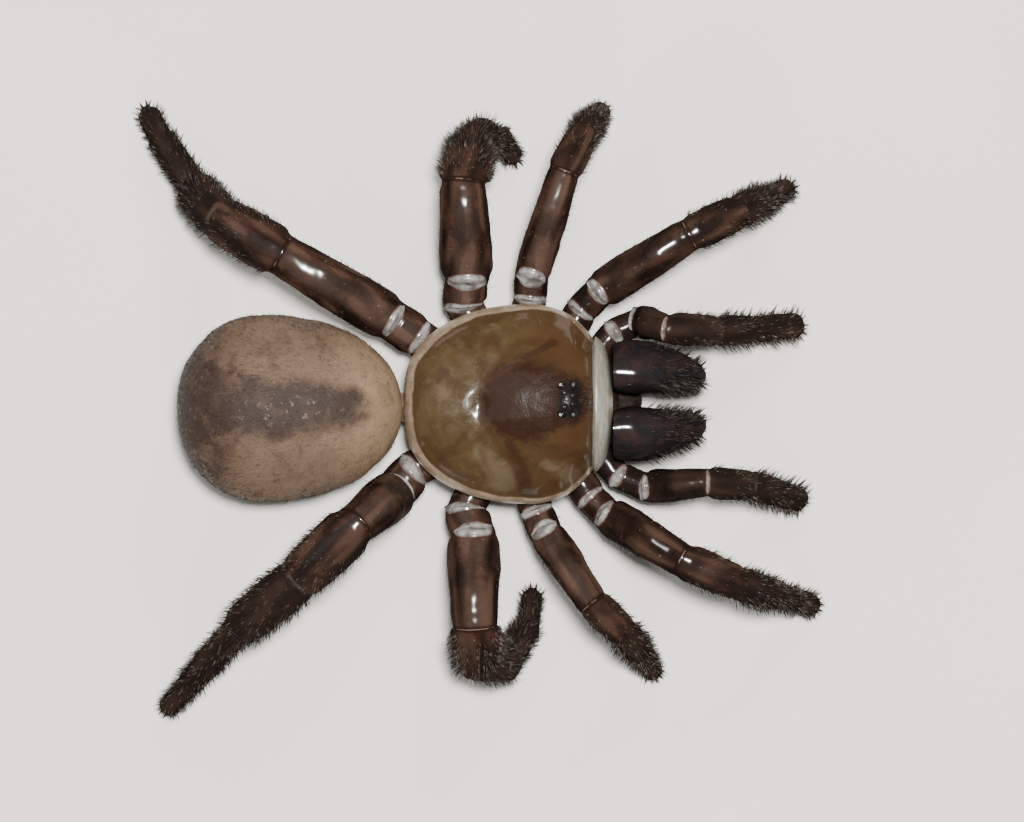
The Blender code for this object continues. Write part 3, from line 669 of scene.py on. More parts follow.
def bristle_material(name, dark, light, roughness, shine=0.2):
    paint = Paint(name)
    # Part of the hairs get the lighter colour: partly paler hairs, partly painted glints on the hairs.
    colour = paint.layers(dark, (paint.noise(3.2, 2.0, 0.7).span(0.45, 0.67), light))
    grain = paint.noise(14.0, 1.0).span(0.3, 0.7, roughness, roughness + 0.12)
    return paint.finish(colour, grain, Specular_IOR_Level=shine)


def floor_material():
    paint = Paint("pale_floor")
    cloud = paint.noise(0.02, 3.0).span(0.3, 0.7)
    colour = paint.layers((0.70, 0.68, 0.63), (cloud, (0.74, 0.72, 0.67)))
    return paint.finish(colour, 0.75, paint.bump(paint.noise(2.0, 3.0), 0.01, 0.3))


CUTICLE = cuticle_material()
SHIELD = shield_material()
IVORY = ivory_material()
SKIN = abdomen_material()
PILE = pile_material()
JAW = jaw_material()
FANG = fang_material()
PLATE = underside_material()
SOFT = soft_material()
BRISTLE = bristle_material("black_bristle", (0.0105, 0.0070, 0.0054), (0.088, 0.070, 0.058), 0.36)
BRUSH = bristle_material("limb_bristle", (0.0150, 0.0103, 0.0083), (0.150, 0.120, 0.100), 0.36)
FRINGE = bristle_material("red_fringe", (0.060, 0.024, 0.010), (0.13, 0.062, 0.026), 0.4)
GUM = bristle_material("mouth_skin", (0.008, 0.0048, 0.0038), (0.024, 0.0125, 0.008), 0.5, 0.04)


# Forebody

def hump(form, x, y):
    middle_x, middle_y, half_length, half_width, height = form
    return height * bell(np.hypot((x - middle_x) / half_length, (y - middle_y) / half_width))


def groove_depth(x, y):
    """Grooves that run from the pit outwards, and the furrow behind the raised head part."""
    total = np.zeros(np.shape(x))
    for start, end, width, depth in GROOVES:
        for sign in (1, -1):
            px = x - start[0]
            py = y - MIDLINE - sign * start[1]
            run_x = end[0] - start[0]
            run_y = sign * (end[1] - start[1])
            length = math.hypot(run_x, run_y)
            along = (px * run_x + py * run_y) / length ** 2
            bow = 0.35 * np.sin(np.clip(along, 0, 1) * math.pi) * sign
            off = (px * run_y - py * run_x) / length + bow
            fade = smooth(along * 4 + 0.4) * smooth((1 - along) * 2.2)
            total = np.maximum(total, depth * bell(off / width) * fade)
    return total


def streaks(marks, x, y):
    """Strength of straight marks that widen towards their end."""
    total = np.zeros(np.shape(x))
    for start, end, width, strength in marks:
        px = x - start[0]
        py = y - start[1]
        run_x = end[0] - start[0]
        run_y = end[1] - start[1]
        along = np.clip((px * run_x + py * run_y) / (run_x ** 2 + run_y ** 2), 0, 1)
        off = np.hypot(px - along * run_x, py - along * run_y)
        total = np.maximum(total, strength * bell(off / (width * (0.7 + 0.6 * along))))
    return total


def shield_plain(x, y):
    """Height of the shield without its grooves, lip and swellings of the surface."""
    u = (y - MIDLINE) / curve(SHIELD_STATIONS, x, 1)
    dome = curve(SHIELD_STATIONS, x, 2) * np.maximum(1 - u ** 2, 0.0) ** 0.75
    return SHIELD_RIM + dome + sum(hump(form, x, y) for form in (HEAD_HUMP, PIT, EYE_MOUND))


def rim_distance(x, y):
    """Distance from the shield's side and rear edge, in plan."""
    xs = np.concatenate((np.linspace(SHIELD_REAR_X, -4.4, 90), np.linspace(-4.4, 6.25, 150)))
    widths = curve(SHIELD_STATIONS, xs, 1)
    edge_x = np.concatenate((xs, xs, np.full(16, SHIELD_REAR_X)))
    edge_y = MIDLINE + np.concatenate((widths, -widths, np.linspace(-0.6, 0.6, 16)))
    best = np.full(np.shape(x), 9.0)
    for px, py in zip(edge_x, edge_y):
        best = np.minimum(best, np.hypot(x - px, y - py))
    return best


def build_shield():
    xs = places_along(SHIELD_REAR_X + 0.35, 6.0, 136, (0.35, 12), (0.25, 8))
    front = smooth((xs - 5.95) / 0.3)
    widths = (curve(SHIELD_STATIONS, xs, 1) - 0.06 * front)[:, None]
    across = np.sin(np.linspace(-math.pi / 2, math.pi / 2, 120))
    x, y = np.broadcast_arrays(xs[:, None], MIDLINE + widths * across)
    edge = rim_distance(x, y)
    lip = 0.07 * bell((edge - 0.2) / 0.2) - 0.05 * bell((edge - 0.62) / 0.28)
    grooves = groove_depth(x, y) * smooth((edge - 0.5) / 1.2)
    plan = rows(x, y, 0.0)
    uneven = (waves(plan, 2.2, 3) * 0.035 + waves(plan, 0.8, 5) * 0.012) * smooth(edge)
    top = shield_plain(x, y) - 0.08 * grooves + lip - 0.25 * (front ** 2)[:, None] + uneven
    shares = np.array((1.0, 0.985, 0.94, 0.5, -0.5, -0.94, -0.985, -1.0))
    heights = np.interp(np.abs(shares), (0.94, 0.985, 1.0),
                        (SHIELD_UNDER, SHIELD_UNDER + 0.05, SHIELD_RIM - 0.15))
    under = rows(xs[:, None], MIDLINE + widths * shares, heights)
    form = loft(np.concatenate((rows(x, y, top), under), axis=1))
    px, py, pz = form[0].T
    reach = np.hypot((px - 2.1) / 2.65, (py - 0.8) / 2.45)
    narrow = np.hypot((px - 4.0) / 2.1, (py - 0.84) / 1.65)
    wider = 0.16 * smooth((-0.5 - px) / 3.0) - 0.13 * smooth((px - 1.0) / 3.0)
    fields = {
        "rim": np.where(pz < SHIELD_RIM - 0.1, 0.1, rim_distance(px, py) - wider),
        "stain": streaks(DARK_STREAKS, px, py),
        "washed": streaks(PALE_STREAKS, px, py),
        "patch": (1 - np.minimum(reach, narrow)) * 2.4,
        "groove": groove_depth(px, py),
        "fore": smooth((px - 0.5) / 4.0),
        "ocular": 1 - np.hypot((px - 4.85) / 0.85, (py - EYE_MOUND[1]) / 1.35),
    }
    mesh_piece("carapace_shell", form, SHIELD, ("carapace",), fields)


def build_band():
    xs = places_along(6.2, 7.2, 22, front=(0.22, 10))
    round_off = 1 - 0.12 * smooth((xs - 7.1) / 0.32) - 0.05 * smooth((6.4 - xs) / 0.2)
    widths, heights = ((curve(BAND_STATIONS, xs, column) * round_off)[:, None] for column in (1, 2))
    across = np.sin(np.linspace(-math.pi / 2, math.pi / 2, 90))
    x = xs[:, None]
    y = MIDLINE + widths * across
    dome = heights * np.maximum(1 - np.abs(across) ** 2.6, 0.0) ** 0.75
    top = SHIELD_RIM + dome + waves(rows(x * 3, y, 0.0), 1.4, 8) * 0.03
    under = rows(x, MIDLINE + widths * (0.95, -0.95), SHIELD_UNDER)
    form = loft(np.concatenate((rows(x, y, top), under), axis=1))
    fields = {"low": (form[0][:, 2] - SHIELD_UNDER) / 3.0}
    mesh_piece("frontal_band", form, IVORY, ("frontal_membrane",), fields)


def build_eyes():
    """Each eye is a lens that swells out of a low dark ring."""
    rings = []
    for pair, (along, aside, radius, look, pearl_and_glint) in EYES.items():
        material = eye_material(look, pearl_and_glint)
        for side, sign in SIDES:
            x = EYE_MOUND[0] + along
            y = EYE_MOUND[1] + sign * aside
            height = shield_plain(x, y)
            middle = np.array((x, y, height + EYE_LIFT))
            step = 0.1
            slope_x = (shield_plain(x + step, y) - shield_plain(x - step, y)) / (2 * step)
            slope_y = (shield_plain(x, y + step) - shield_plain(x, y - step)) / (2 * step)
            axis = unit((-slope_x, -slope_y, 1.0))
            turn = np.linspace(-math.pi / 2, math.pi / 2, 25)
            path = middle + np.outer(radius * np.sin(turn), axis)
            reach = radius * np.maximum(np.cos(turn), 0.02) * (1 + 0.05 * np.sin(turn) ** 2)
            way = unit(np.cross(axis, (0.0, 1.0, 0.0)))
            spin = turns(28)
            oval = np.outer(1.06 * np.cos(spin), way) + np.outer(0.97 * np.sin(spin), np.cross(axis, way))
            form = loft(path[:, None] + oval * reach[:, None, None])
            # The pale spot sits off the lens's middle, towards the rear; it is partly pearly eye and partly a
            # painted glint.
            lean = (form[0] - middle) @ unit(axis + (-0.35, 0.0, 0.0)) / radius
            mesh_piece(f"lens_{pair}_{side}", form, material, (f"eye_{pair}_{side}",),
                       {"middle": smooth((lean - 0.9) / 0.1)})

            spin = turns(30)
            centre = np.array((x, y, height - 0.02))
            ring = centre + rows(np.cos(spin), np.sin(spin), 0.0) * (radius * 0.98)
            ring[:, 2] = shield_plain(ring[:, 0], ring[:, 1]) - 0.03
            turn = turns(10)[:, None]
            thick = 0.035
            out = unit(ring - centre)[:, None]
            section = out * (thick * 1.3 * np.cos(turn)) + UP * (thick * np.sin(turn))
            rings.append(loft(ring[:, None] + section, closed=True))
    mesh_piece("eye_sockets", joined(rings), GUM)


def build_face_bristles(draw):
    """Small bristles on the eye mound, in front of it and along the shield."""
    coat = Coat()
    ahead, behind = 110, 40
    x = np.concatenate((draw.uniform(5.3, 6.15, ahead), draw.uniform(3.4, 4.6, behind)))
    y = EYE_MOUND[1] + np.concatenate((draw.normal(0, 0.6, ahead), draw.normal(0, 0.7, behind)))
    count = len(x)
    ways = rows(draw.uniform(0.3, 1.2, count), draw.normal(0, 0.35, count), draw.uniform(0.5, 1.0, count))
    coat.add(rows(x, y, shield_plain(x, y) - 0.02), ways, (0.15, 0, -0.1),
             draw.uniform(0.12, 0.36, count), 0.017, rows(x + 5.1, y + 5.4) / 12)
    turn = draw.uniform(-2.6, 2.6, 240)
    x = 0.5 - 5.2 * np.cos(turn)
    keep = (x > -4.6) & (x < 5.6)
    x = x[keep]
    count = len(x)
    sign = np.sign(turn[keep])
    y = MIDLINE + sign * (curve(SHIELD_STATIONS, x, 1) - draw.uniform(0.45, 0.75, count))
    ways = rows(draw.normal(0.1, 0.4, count), sign * 0.6, 0.7)
    coat.add(rows(x, y, shield_plain(x, y) - 0.06), ways, (0, 0, 0),
             draw.uniform(0.05, 0.11, count), 0.014, rows(x + 5.1, y + 5.4) / 12)
    coat.piece("forebody_bristles", BRISTLE)


# Jaws

def jaw_point(x, turn, sign):
    """Point on a jaw at x and a turn from its top, and the direction away from its axis."""
    offset, z, wide, tall = (curve(JAW_STATIONS, x, column) for column in (1, 2, 3, 4))
    side = np.sin(turn)
    top = np.cos(turn)
    square = fuller(side, top, 2.05)
    inward = sign * 0.36 * np.maximum(top, 0) ** 2 * smooth((12.3 - x) / 2.6)
    y = JAW_MIDLINE + sign * offset + wide * side * square - inward
    return rows(x, y, z + tall * top * square), unit(rows(0.12, side / wide, top / tall))


def build_jaws(draw):
    xs = places_along(7.7, 12.8, 74, (0.25, 8), (0.3, 12))[:, None]
    spin = turns(56)
    for side, sign in SIDES:
        rings, out = jaw_point(xs, spin, sign)
        form = loft(rings + out * (waves(rings, 1.8, 21 + sign) * 0.03)[..., None])
        mesh_piece(f"jaw_{side}", form, JAW, (f"chelicera_{side}",),
                   {"facing": np.cos(spin) * smooth((12.2 - xs) / 2.4)})

        t = np.linspace(0, 1, 60)
        key = np.column_stack((np.linspace(0, 1, len(FANG_STATIONS)), FANG_STATIONS))
        path = rows(curve(key, t, 1), JAW_MIDLINE + sign * FANG_OFFSET, curve(key, t, 2))
        mesh_piece(f"fang_blade_{side}", tube(path, curve(key, t, 3), 24), FANG, (f"fang_{side}",))

        # From x, to x, turn from the top, its spread, count, shortest, longest, radius, lean
        bands = (
            (9.8, 12.9, -sign * 38, 12, 150, 0.35, 0.8, 0.022, 1.5),
            (9.6, 12.4, sign * 16, 10, 70, 0.3, 0.6, 0.02, 1.8),
            (9.2, 12.8, sign * 74, 14, 110, 0.35, 0.7, 0.022, 0.9),
            (9.4, 12.6, -sign * 94, 12, 130, 0.4, 0.8, 0.022, 0.8),
            (10.4, 12.9, 180, 40, 120, 0.3, 0.6, 0.022, 0.8),
        )
        coat = Coat()
        for low, high, middle, spread, count, short, long, radius, lean in bands:
            x = low + (high - low) * draw.beta(1.6, 1.1, count)
            turn = np.radians(middle + draw.normal(0, spread, count))
            roots, out = jaw_point(x, turn, sign)
            ways = out + (lean, 0, 0) + draw.normal(0, 0.12, (count, 3))
            bends = rows(draw.uniform(0.1, 0.35, count), draw.normal(0, 0.06, count),
                         -draw.uniform(0, 0.15, count))
            spots = rows(0.02 + 0.9 * (turn % 6.283) / 6.283, 0.02 + (x - 7) / 7)
            coat.add(roots, ways, bends, draw.uniform(short, long, count), radius, spots, rings=3)
        coat.piece(f"jaw_bristles_{side}", BRISTLE)

        coat = Coat()
        for x, angles, length in (
                (11.2, (-62, -30, 0, 30, 62), 0.5), (11.8, (-70, -40, -12, 14, 42, 70), 0.6),
                (12.35, (-75, -45, -15, 15, 45, 75), 0.6), (12.75, (-60, -20, 20, 60), 0.45)):
            count = len(angles)
            turn = np.radians(angles + draw.normal(0, 4, count))
            roots, out = jaw_point(x, turn, sign)
            ways = out + (1.1, 0, -0.1) + draw.normal(0, 0.08, (count, 3))
            coat.add(roots, ways, (0, 0, -0.15), length * draw.uniform(0.8, 1.15, count), 0.1, (0.1, 0.1),
                     rings=4, sunk=0.15)
        coat.piece(f"digging_spines_{side}", JAW)

    t = np.linspace(0.05, math.pi - 0.05, 26)
    levels = rows(2.9 + 0.9 * (1 - np.cos(t)), 0.35 + 0.65 * np.sin(t))
    points, faces = plate((8.1, JAW_MIDLINE), (1.15, 1.2), levels, 40)
    out = unit(points - (8.1, JAW_MIDLINE, 4.2))
    mesh_piece("mouth_skin", (points + out * (waves(points, 0.7, 61) * 0.04)[:, None], faces), GUM)

    levels = ((3.3, 0.75), (3.5, 0.95), (4.0, 1.0), (4.5, 0.97), (4.8, 0.85))
    points, faces = plate((7.4, JAW_MIDLINE), (0.5, 2.75), levels, 60, 3.0)
    points[:, 2] += waves(points, 0.9, 63) * 0.03
    mesh_piece("jaw_base_skin", (points, faces), GUM)


# Underside

def build_underside():
    t = np.linspace(0.02, math.pi / 2, 16)
    levels = np.concatenate((rows(1.5 + 0.5 * (1 - np.cos(t)), 0.25 + 0.72 * np.sin(t) ** 0.8),
                             rows(np.linspace(2.1, 4.6, 12), 1.0)))
    points, faces = plate(STERNUM_MIDDLE, (3.5, 2.7), levels, 72, 2.3)
    x, y, z = points.T
    dents = 0.06 * np.cos(x * 1.4) * bell((np.abs(y - STERNUM_MIDDLE[1]) - 1.6) / 0.4) * (z < 2)
    points[:, 2] = np.maximum(z - dents, 1.47)
    mesh_piece("breastplate", (points, faces), PLATE, ("sternum",))

    levels = ((4.35, 0.72), (4.55, 0.8), (4.75, 0.9), (4.95, 0.97))
    points, faces = plate((0.75, MIDLINE), (4.9, 4.6), levels, 96)
    points[:, 0:2] += (waves(points, 1.2, 31) * 0.05)[:, None]
    mesh_piece("side_skin", (points, faces), SOFT)

    xs = np.linspace(5.0, 6.22, 24)[:, None]
    share = np.sqrt(np.maximum(1 - ((xs - 5.5) / 0.78) ** 2, 0.02))
    spin = turns(36)
    lip = rows(xs, 0.55 + 0.85 * share * np.sin(spin), 2.7 + 0.8 * share * np.cos(spin))
    mesh_piece("lip", loft(lip), PLATE, ("labium",))

    xs = np.linspace(-2.3, -5.75, 70)
    folds = 0.05 * np.cos((xs + 2.3) * 2 * math.pi / 0.55)
    radius = np.interp(xs, (-5.75, -5.1, -4.0, -2.3), (1.0, 0.85, 0.95, 1.2)) + folds
    path = rows(xs, np.interp(xs, (-5.7, -2.3), (0.4, 0.55)), 3.7)
    mesh_piece("waist", tube(path, radius, 36, 0.85), SOFT, ("pedicel",))


# Abdomen

def abdomen_share(x):
    run = np.where(x > ABDOMEN_WIDEST_X,
                   (x - ABDOMEN_WIDEST_X) / (ABDOMEN_FRONT_X - ABDOMEN_WIDEST_X),
                   (ABDOMEN_WIDEST_X - x) / (ABDOMEN_WIDEST_X - ABDOMEN_REAR_X))
    return np.maximum(1 - np.clip(run, 0, 1) ** ABDOMEN_BLUNTNESS, 0.0) ** (1 / ABDOMEN_BLUNTNESS)


def abdomen_point(x, turn):
    """Point on the abdomen, turn 0 on top and a quarter turn on its left side."""
    share = abdomen_share(x)
    flank = 1 - 0.02 * np.cos(2 * turn)
    return rows(x, ABDOMEN_Y + ABDOMEN_HALF[0] * share * np.sin(turn) * flank,
                ABDOMEN_Z + ABDOMEN_HALF[1] * share * np.cos(turn) * (2 - flank))


def abdomen_relief(points):
    """Height of the abdomen's folds and of its muscle pits over its plain form."""
    x, y, z = np.moveaxis(points - (0, ABDOMEN_Y, 0), -1, 0)
    height = waves(points, 3.0, 41) * 0.05 + waves(points * (0.6, 1, 1), 1.1, 43) * 0.022
    for px, py in ((-9.6, 1.5), (-12.0, 1.9), (-14.2, 1.5)):
        for sign in (1, -1):
            height -= 0.09 * bell(np.hypot((x - px) / 0.4, (y - sign * py) / 0.32)) * (z > ABDOMEN_Z)
    furrow = bell((x + 8.6) / 0.22) * smooth(-(z - 3.4) / 1.2) * smooth((3.6 - np.abs(y)) / 1.5)
    return height - 0.14 * furrow


def abdomen_fields(points):
    x, y, z = (points - (0, ABDOMEN_Y, ABDOMEN_Z)).T
    half = np.interp(x, (-18.7, -16.5, -13.0, -9.5, -7.4, -5.9), (2.6, 2.4, 1.9, 1.6, 1.2, 0.3))
    lungs = np.zeros(len(points))
    for px, py in ((-7.5, 2.0), (-9.9, 2.3)):
        for sign in (1, -1):
            lungs = np.maximum(lungs, bell(np.hypot((x - px) / 0.9, (y - sign * py) / 1.1) ** 2))
    return {
        "stripe": smooth(1.4 - np.abs(y) / half) * smooth((z + 1.0) / 2.5) * smooth((-5.7 - x) / 2.6),
        "rear": smooth((-13.2 - x) / 5.0) * smooth((z + 3.6) / 3.0),
        "front": smooth((x + 10.5) / 4.2),
        "belly": smooth((-1.0 - z) / 2.5),
        "lung": lungs * (z < -1.2),
    }


def build_abdomen(draw):
    core = (ABDOMEN_WIDEST_X, ABDOMEN_Y, ABDOMEN_Z)
    middle = (ABDOMEN_FRONT_X + ABDOMEN_REAR_X) / 2
    half = (ABDOMEN_FRONT_X - ABDOMEN_REAR_X) / 2
    xs = middle - half * np.cos(np.linspace(0.03, math.pi - 0.03, 190))
    rings = abdomen_point(xs[:, None], turns(150))
    out = unit((rings - core) / (40.0, 30.0, 20.0))
    form = loft(rings + out * (abdomen_relief(rings) - 0.03)[..., None])
    mesh_piece("abdomen_skin", form, SKIN, ("abdomen",), abdomen_fields(form[0]))

    def coat_roots(count):
        """Roots spread over the skin, the ways outwards and backwards, and their spots."""
        x = draw.uniform(-18.65, -5.6, count * 3)
        keep = draw.uniform(0, 1, count * 3) < abdomen_share(x) ** 0.8 + 0.05
        x = x[keep][:count]
        spin = draw.uniform(0, 2 * math.pi, len(x))
        roots = abdomen_point(x, spin)
        out = unit((roots - core) / (46.0, 30.0, 20.0))
        back = unit(abdomen_point(np.clip(x - 0.1, -18.68, -5.2), spin) - roots)
        roots = roots + out * (abdomen_relief(roots) - 0.05)[:, None]
        return roots, out, back, rows(0.01 + 0.97 * spin / (2 * math.pi),
                                      0.01 + 0.97 * (x - ABDOMEN_REAR_X) / 13.6)

    coat = Coat()
    roots, out, back, spots = coat_roots(24000)
    count = len(roots)
    ways = out * draw.uniform(0.25, 0.8, count)[:, None] + back + draw.normal(0, 0.22, (count, 3))
    coat.add(roots, ways, -out * 0.1, draw.uniform(0.12, 0.27, count), draw.uniform(0.014, 0.024, count),
             spots, rings=1)
    coat.piece("abdomen_pile", PILE, abdomen_fields)

    coat = Coat()
    roots, out, back, spots = coat_roots(1300)
    count = len(roots)
    ways = out * draw.uniform(0.3, 0.8, count)[:, None] + back * 0.8 + draw.normal(0, 0.2, (count, 3))
    coat.add(roots, ways, back * 0.2, draw.uniform(0.2, 0.42, count), 0.015, spots, rings=3)
    coat.piece("abdomen_setae", BRISTLE)


def build_spinnerets(draw):
    coat = Coat()
    for kind, length, root, tip, count in (
            ("posterior", 1.5, 0.36, 0.2, 110), ("median", 0.7, 0.17, 0.12, 40)):
        for side, sign in SIDES:
            name = f"spinneret_{kind}_{side}"
            low, high = np.array(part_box(name)) / MM - SHIFT
            start = (low + high) / 2 + (0, -sign * 0.1, 0.08)
            start[0] = high[0] - 0.05
            way = unit((-1.0, sign * 0.15, -0.1))
            t = np.linspace(-0.28, 1, 54)
            joints = 0.10 * (bell((t - 0.42) / 0.035) + bell((t - 0.75) / 0.035))
            radii = np.interp(t, (-0.28, 0.0, 0.4, 0.75, 1.0),
                              (root * 1.05, root, root * 0.92, tip * 1.15, tip * 0.9)) * (1 - joints)
            radii = radii * np.sqrt(np.clip((1.02 - t) / 0.12, 0.02, 1))
            form = tube(start + np.outer(t * length, way), radii, 28)
            mesh_piece(f"spinning_tube_{kind}_{side}", form, SOFT, (name,))
            t = draw.uniform(0.1, 1, count)
            spin = draw.uniform(0, 2 * math.pi, count)
            out = rows(0.0, np.cos(spin), np.sin(spin))
            reach = 0.9 * np.interp(t, (0, 1), (root, tip))
            roots = start + np.outer(t * length, way) + out * reach[:, None]
            coat.add(roots, out + way * 1.2, (0, 0, 0), draw.uniform(0.15, 0.35, count), 0.014,
                     rows(0.05 + 0.9 * t, 0.05 + 0.9 * spin / 6.3))
    coat.piece("spinneret_hairs", BRISTLE)


# Limbs

class Limb:
    """One limb as a single skin from hip to claws. A turn is measured from the top line of its part."""

    def __init__(self, name):
        self.name = name
        self.kind = name.rsplit("_", 1)[0]
        self.palp = self.kind == "palp"
        self.girth = GIRTH[self.kind]
        self.joints = np.array(POSE[name])
        steps = np.diff(self.joints, axis=0)
        self.lengths = np.linalg.norm(steps, axis=1)
        self.ways = unit(steps)
        self.last = len(steps) - 1
        femur = steps[2]
        tilt = femur[2] / math.hypot(femur[0], femur[1])
        self.arch = min((tilt + 0.08) * self.lengths[2] / 5.2, 0.95 * self.girth[2]) if tilt < 1 else 0.62
        self.tops = []
        self.dorsal = []
        for i, way in enumerate(self.ways):
            real = unit(UP - way * way[2])
            if i == 0:
                top = real
            else:
                top = np.array(Vector(self.ways[i - 1]).rotation_difference(Vector(way)) @ Vector(top))
            self.tops.append(top)
            self.dorsal.append(math.atan2(real @ np.cross(way, top), real @ top))

    def neck(self, joint, angle):
        """Radius at the joint before a part: a waist that is deepest on top."""
        flank = smooth(angle / 1.3)
        share = {1: 0.84 + 0.09 * flank, 2: 0.82 + 0.13 * flank, 3: 0.84 + 0.04 * flank}.get(joint, 0.89)
        return share * (self.girth[joint] + self.girth[joint - 1]) / 2

    def spread(self, part, along, turn):
        """Radius at a distance along one part and a turn."""
        girth = self.girth[part]
        length = self.lengths[part]
        last = part == self.last
        share = np.clip(along / length, 0, 1)
        angle = np.abs(wrapped(turn))
        taper = (0.0, 0.0, 0.12, 0.03, 0.06, 0.08, 0.06)[part]
        swell = (0.05, 0.04, 0.085, 0.075, 0.06, 0.05, 0.05)[part]
        body = girth * (0.955 + taper / 2 - taper * share + swell * np.sin(math.pi * share ** 0.75))
        near = girth * 0.62 if part == 0 else self.neck(part, angle)
        far = girth * 0.62 if last else self.neck(part + 1, angle)
        start = 1 - smooth(along / min(0.5 * girth, 0.3 * length))
        reach = 0.9 * girth if last else min(0.34 * girth, 0.3 * length)
        end = 1 - smooth((length - along) / reach)
        radius = body + (near - body) * start + (far - body) * end
        if last:
            radius = radius * np.sqrt(np.clip((length - along + 0.02) / 0.4, 0.02, 1))
        ridge = bell((angle - 0.45) / 0.22) - 0.7 * bell(angle / 0.2)
        return radius * (1 + 0.014 * ridge * (1 - start) * (1 - end) * (part >= 2))

    def point(self, part, along, turn):
        """Point on the skin and the direction away from the axis."""
        way = self.ways[part]
        top = self.tops[part]
        side = np.cross(way, top)
        length = self.lengths[part]
        angle = (turn + self.dorsal[part])[..., None]
        out = top * np.cos(angle) + side * np.sin(angle)
        radius = self.spread(part, along, turn)
        slide = 0.0
        for other, place in ((part - 1, 0.0), (part + 1, length)):
            if 0 <= other <= self.last:
                normal = unit(way + self.ways[other])
                tilt = -(out @ normal) / (way @ normal) * radius
                bend = math.tan(math.acos(np.clip(way @ self.ways[other], -1, 1)) / 2)
                reach = min(max(1.7 * self.girth[part] * bend + 0.35, 0.8), 0.62 * length)
                slide = slide + tilt * np.clip(1 - np.abs(along - place) / reach, 0, 1) ** 1.6
        share = np.clip(along / length, 0, 1)
        arch = (0.0, 0.0, self.arch, 0.08, 0.12, 0.06, 0.0)[part] * np.sin(math.pi * share ** 1.9) ** 2
        rise = top * math.cos(self.dorsal[part]) + side * math.sin(self.dorsal[part])
        axis = self.joints[part] + way * (along + slide)[..., None]
        return axis + out * radius[..., None] + rise * arch[..., None], out

    def membrane(self, part, along, turn):
        """How far inside a joint's silvery membrane a point is, in millimetres."""
        def bow(angle, half):
            return np.sqrt(np.clip(1 - (angle / half) ** 2, 0, 1))

        angle = np.abs(wrapped(turn))
        under = bow(math.pi - angle, 0.9)
        rest = self.lengths[part] - along
        hip, femur, thigh = MEMBRANES.get(self.kind, PLAIN_MEMBRANES)
        inside = -0.5 + 0 * rest
        if part == 0:
            inside = 0.30 * bow(angle, 1.3) - rest
        elif part == 1:
            inside = np.maximum(hip * bow(angle, 1.25) - along, femur * bow(angle, 0.95) - rest)
        elif part == 2:
            knee = 0.75 * under
            if self.palp:
                knee = np.maximum(knee, 0.1 * bow(angle, 1.1))
            inside = np.maximum(thigh * bow(angle, 0.95) - along, knee - rest)
        elif part == 3:
            inside = np.maximum(0.6 * under, 0.16 * bow(angle, 1.1) if self.palp else 0.0) - along
        return np.maximum(inside, -0.5)

    def hinge(self, part, along, turn):
        """How far inside the pale line of a knee or lower joint a point is."""
        if self.palp or part not in (2, 3):
            return -1.0
        inside = 0.035 - along if part == 3 else 0.025 - (self.lengths[part] - along)
        return inside + 0.1 * (smooth((1.5 - np.abs(wrapped(turn))) / 0.6) - 1)

    def seam(self, part, along, turn):
        """How far inside the thin pale line low on a part's side a point is."""
        if part != 2 or self.kind not in ("leg_2", "leg_3", "leg_4"):
            return -1.0
        sign = 1 if self.name.endswith("left") == (self.kind == "leg_2") else -1
        length = self.lengths[part]
        ends = np.minimum(along - 0.25 * length, length - along - 0.2)
        return np.minimum(0.04 - np.abs(wrapped(sign * turn) - 1.4) * self.girth[part], ends)

    def build(self):
        rings = []
        fields = {}
        seed = sum(ord(letter) for letter in self.name)
        levels = GLOSS[self.kind]
        least = {"palp": 0.95, "leg_1": 0.3}.get(self.kind, 0.0)
        for part, length in enumerate(self.lengths):
            steps = max(int(length / 0.1), 12)
            t = np.linspace(0, 1, steps + 4) if part == self.last else np.linspace(0, 1, steps + 1)[:-1]
            along = ((t - 0.055 * np.sin(2 * math.pi * t)) * length)[:, None]
            along, turn = np.broadcast_arrays(along, turns(40) - self.dorsal[part])
            points, out = self.point(part, along, turn)
            rings.append(points)
            girth = self.girth[part]
            unrolled = rows(np.cos(turn) * girth, np.sin(turn) * girth, (along + 7.0 * part) * 0.22)
            values = {
                "membrane": self.membrane(part, along, turn),
                "hinge": self.hinge(part, along, turn),
                "seam": self.seam(part, along, turn),
                "dorsal": np.cos(turn),
                "outer": max(least, smooth((part - 2.5) / 1.5)),
                "gloss": levels[part] + (levels[part + 1] - levels[part]) * (along / length),
                "facing": out[..., 2],
                "streak": waves(unrolled, 1.0, seed + 2),
            }
            for field, value in values.items():
                fields.setdefault(field, []).append(np.broadcast_to(value, along.shape))
        rings = np.concatenate(rings)
        rings[..., 2] = np.maximum(rings[..., 2], 0.0)
        fields = {field: np.concatenate(values) for field, values in fields.items()}
        bare = smooth(fields["membrane"] / 0.32)
        lumps = waves(rings, 2.0, seed) * 0.04 + waves(rings, 0.8, seed + 1) * 0.014
        lumps = lumps * smooth(rings[..., 2] / 0.6)
        out = unit(rings - rings.mean(axis=1, keepdims=True))
        rings = rings + out * (0.2 * bare + lumps * (1 - 0.5 * bare))[..., None]
        rings[..., 2] = np.maximum(rings[..., 2], 0.0)
        mesh_piece(f"{self.name}_skin", loft(rings), CUTICLE,
                   (f"{self.name}_upper", f"{self.name}_lower"), fields)

    def spots(self, turn, place):
        return rows(0.02 + 0.95 * (turn % 6.283) / 6.283, 0.02 + place / 7.4)

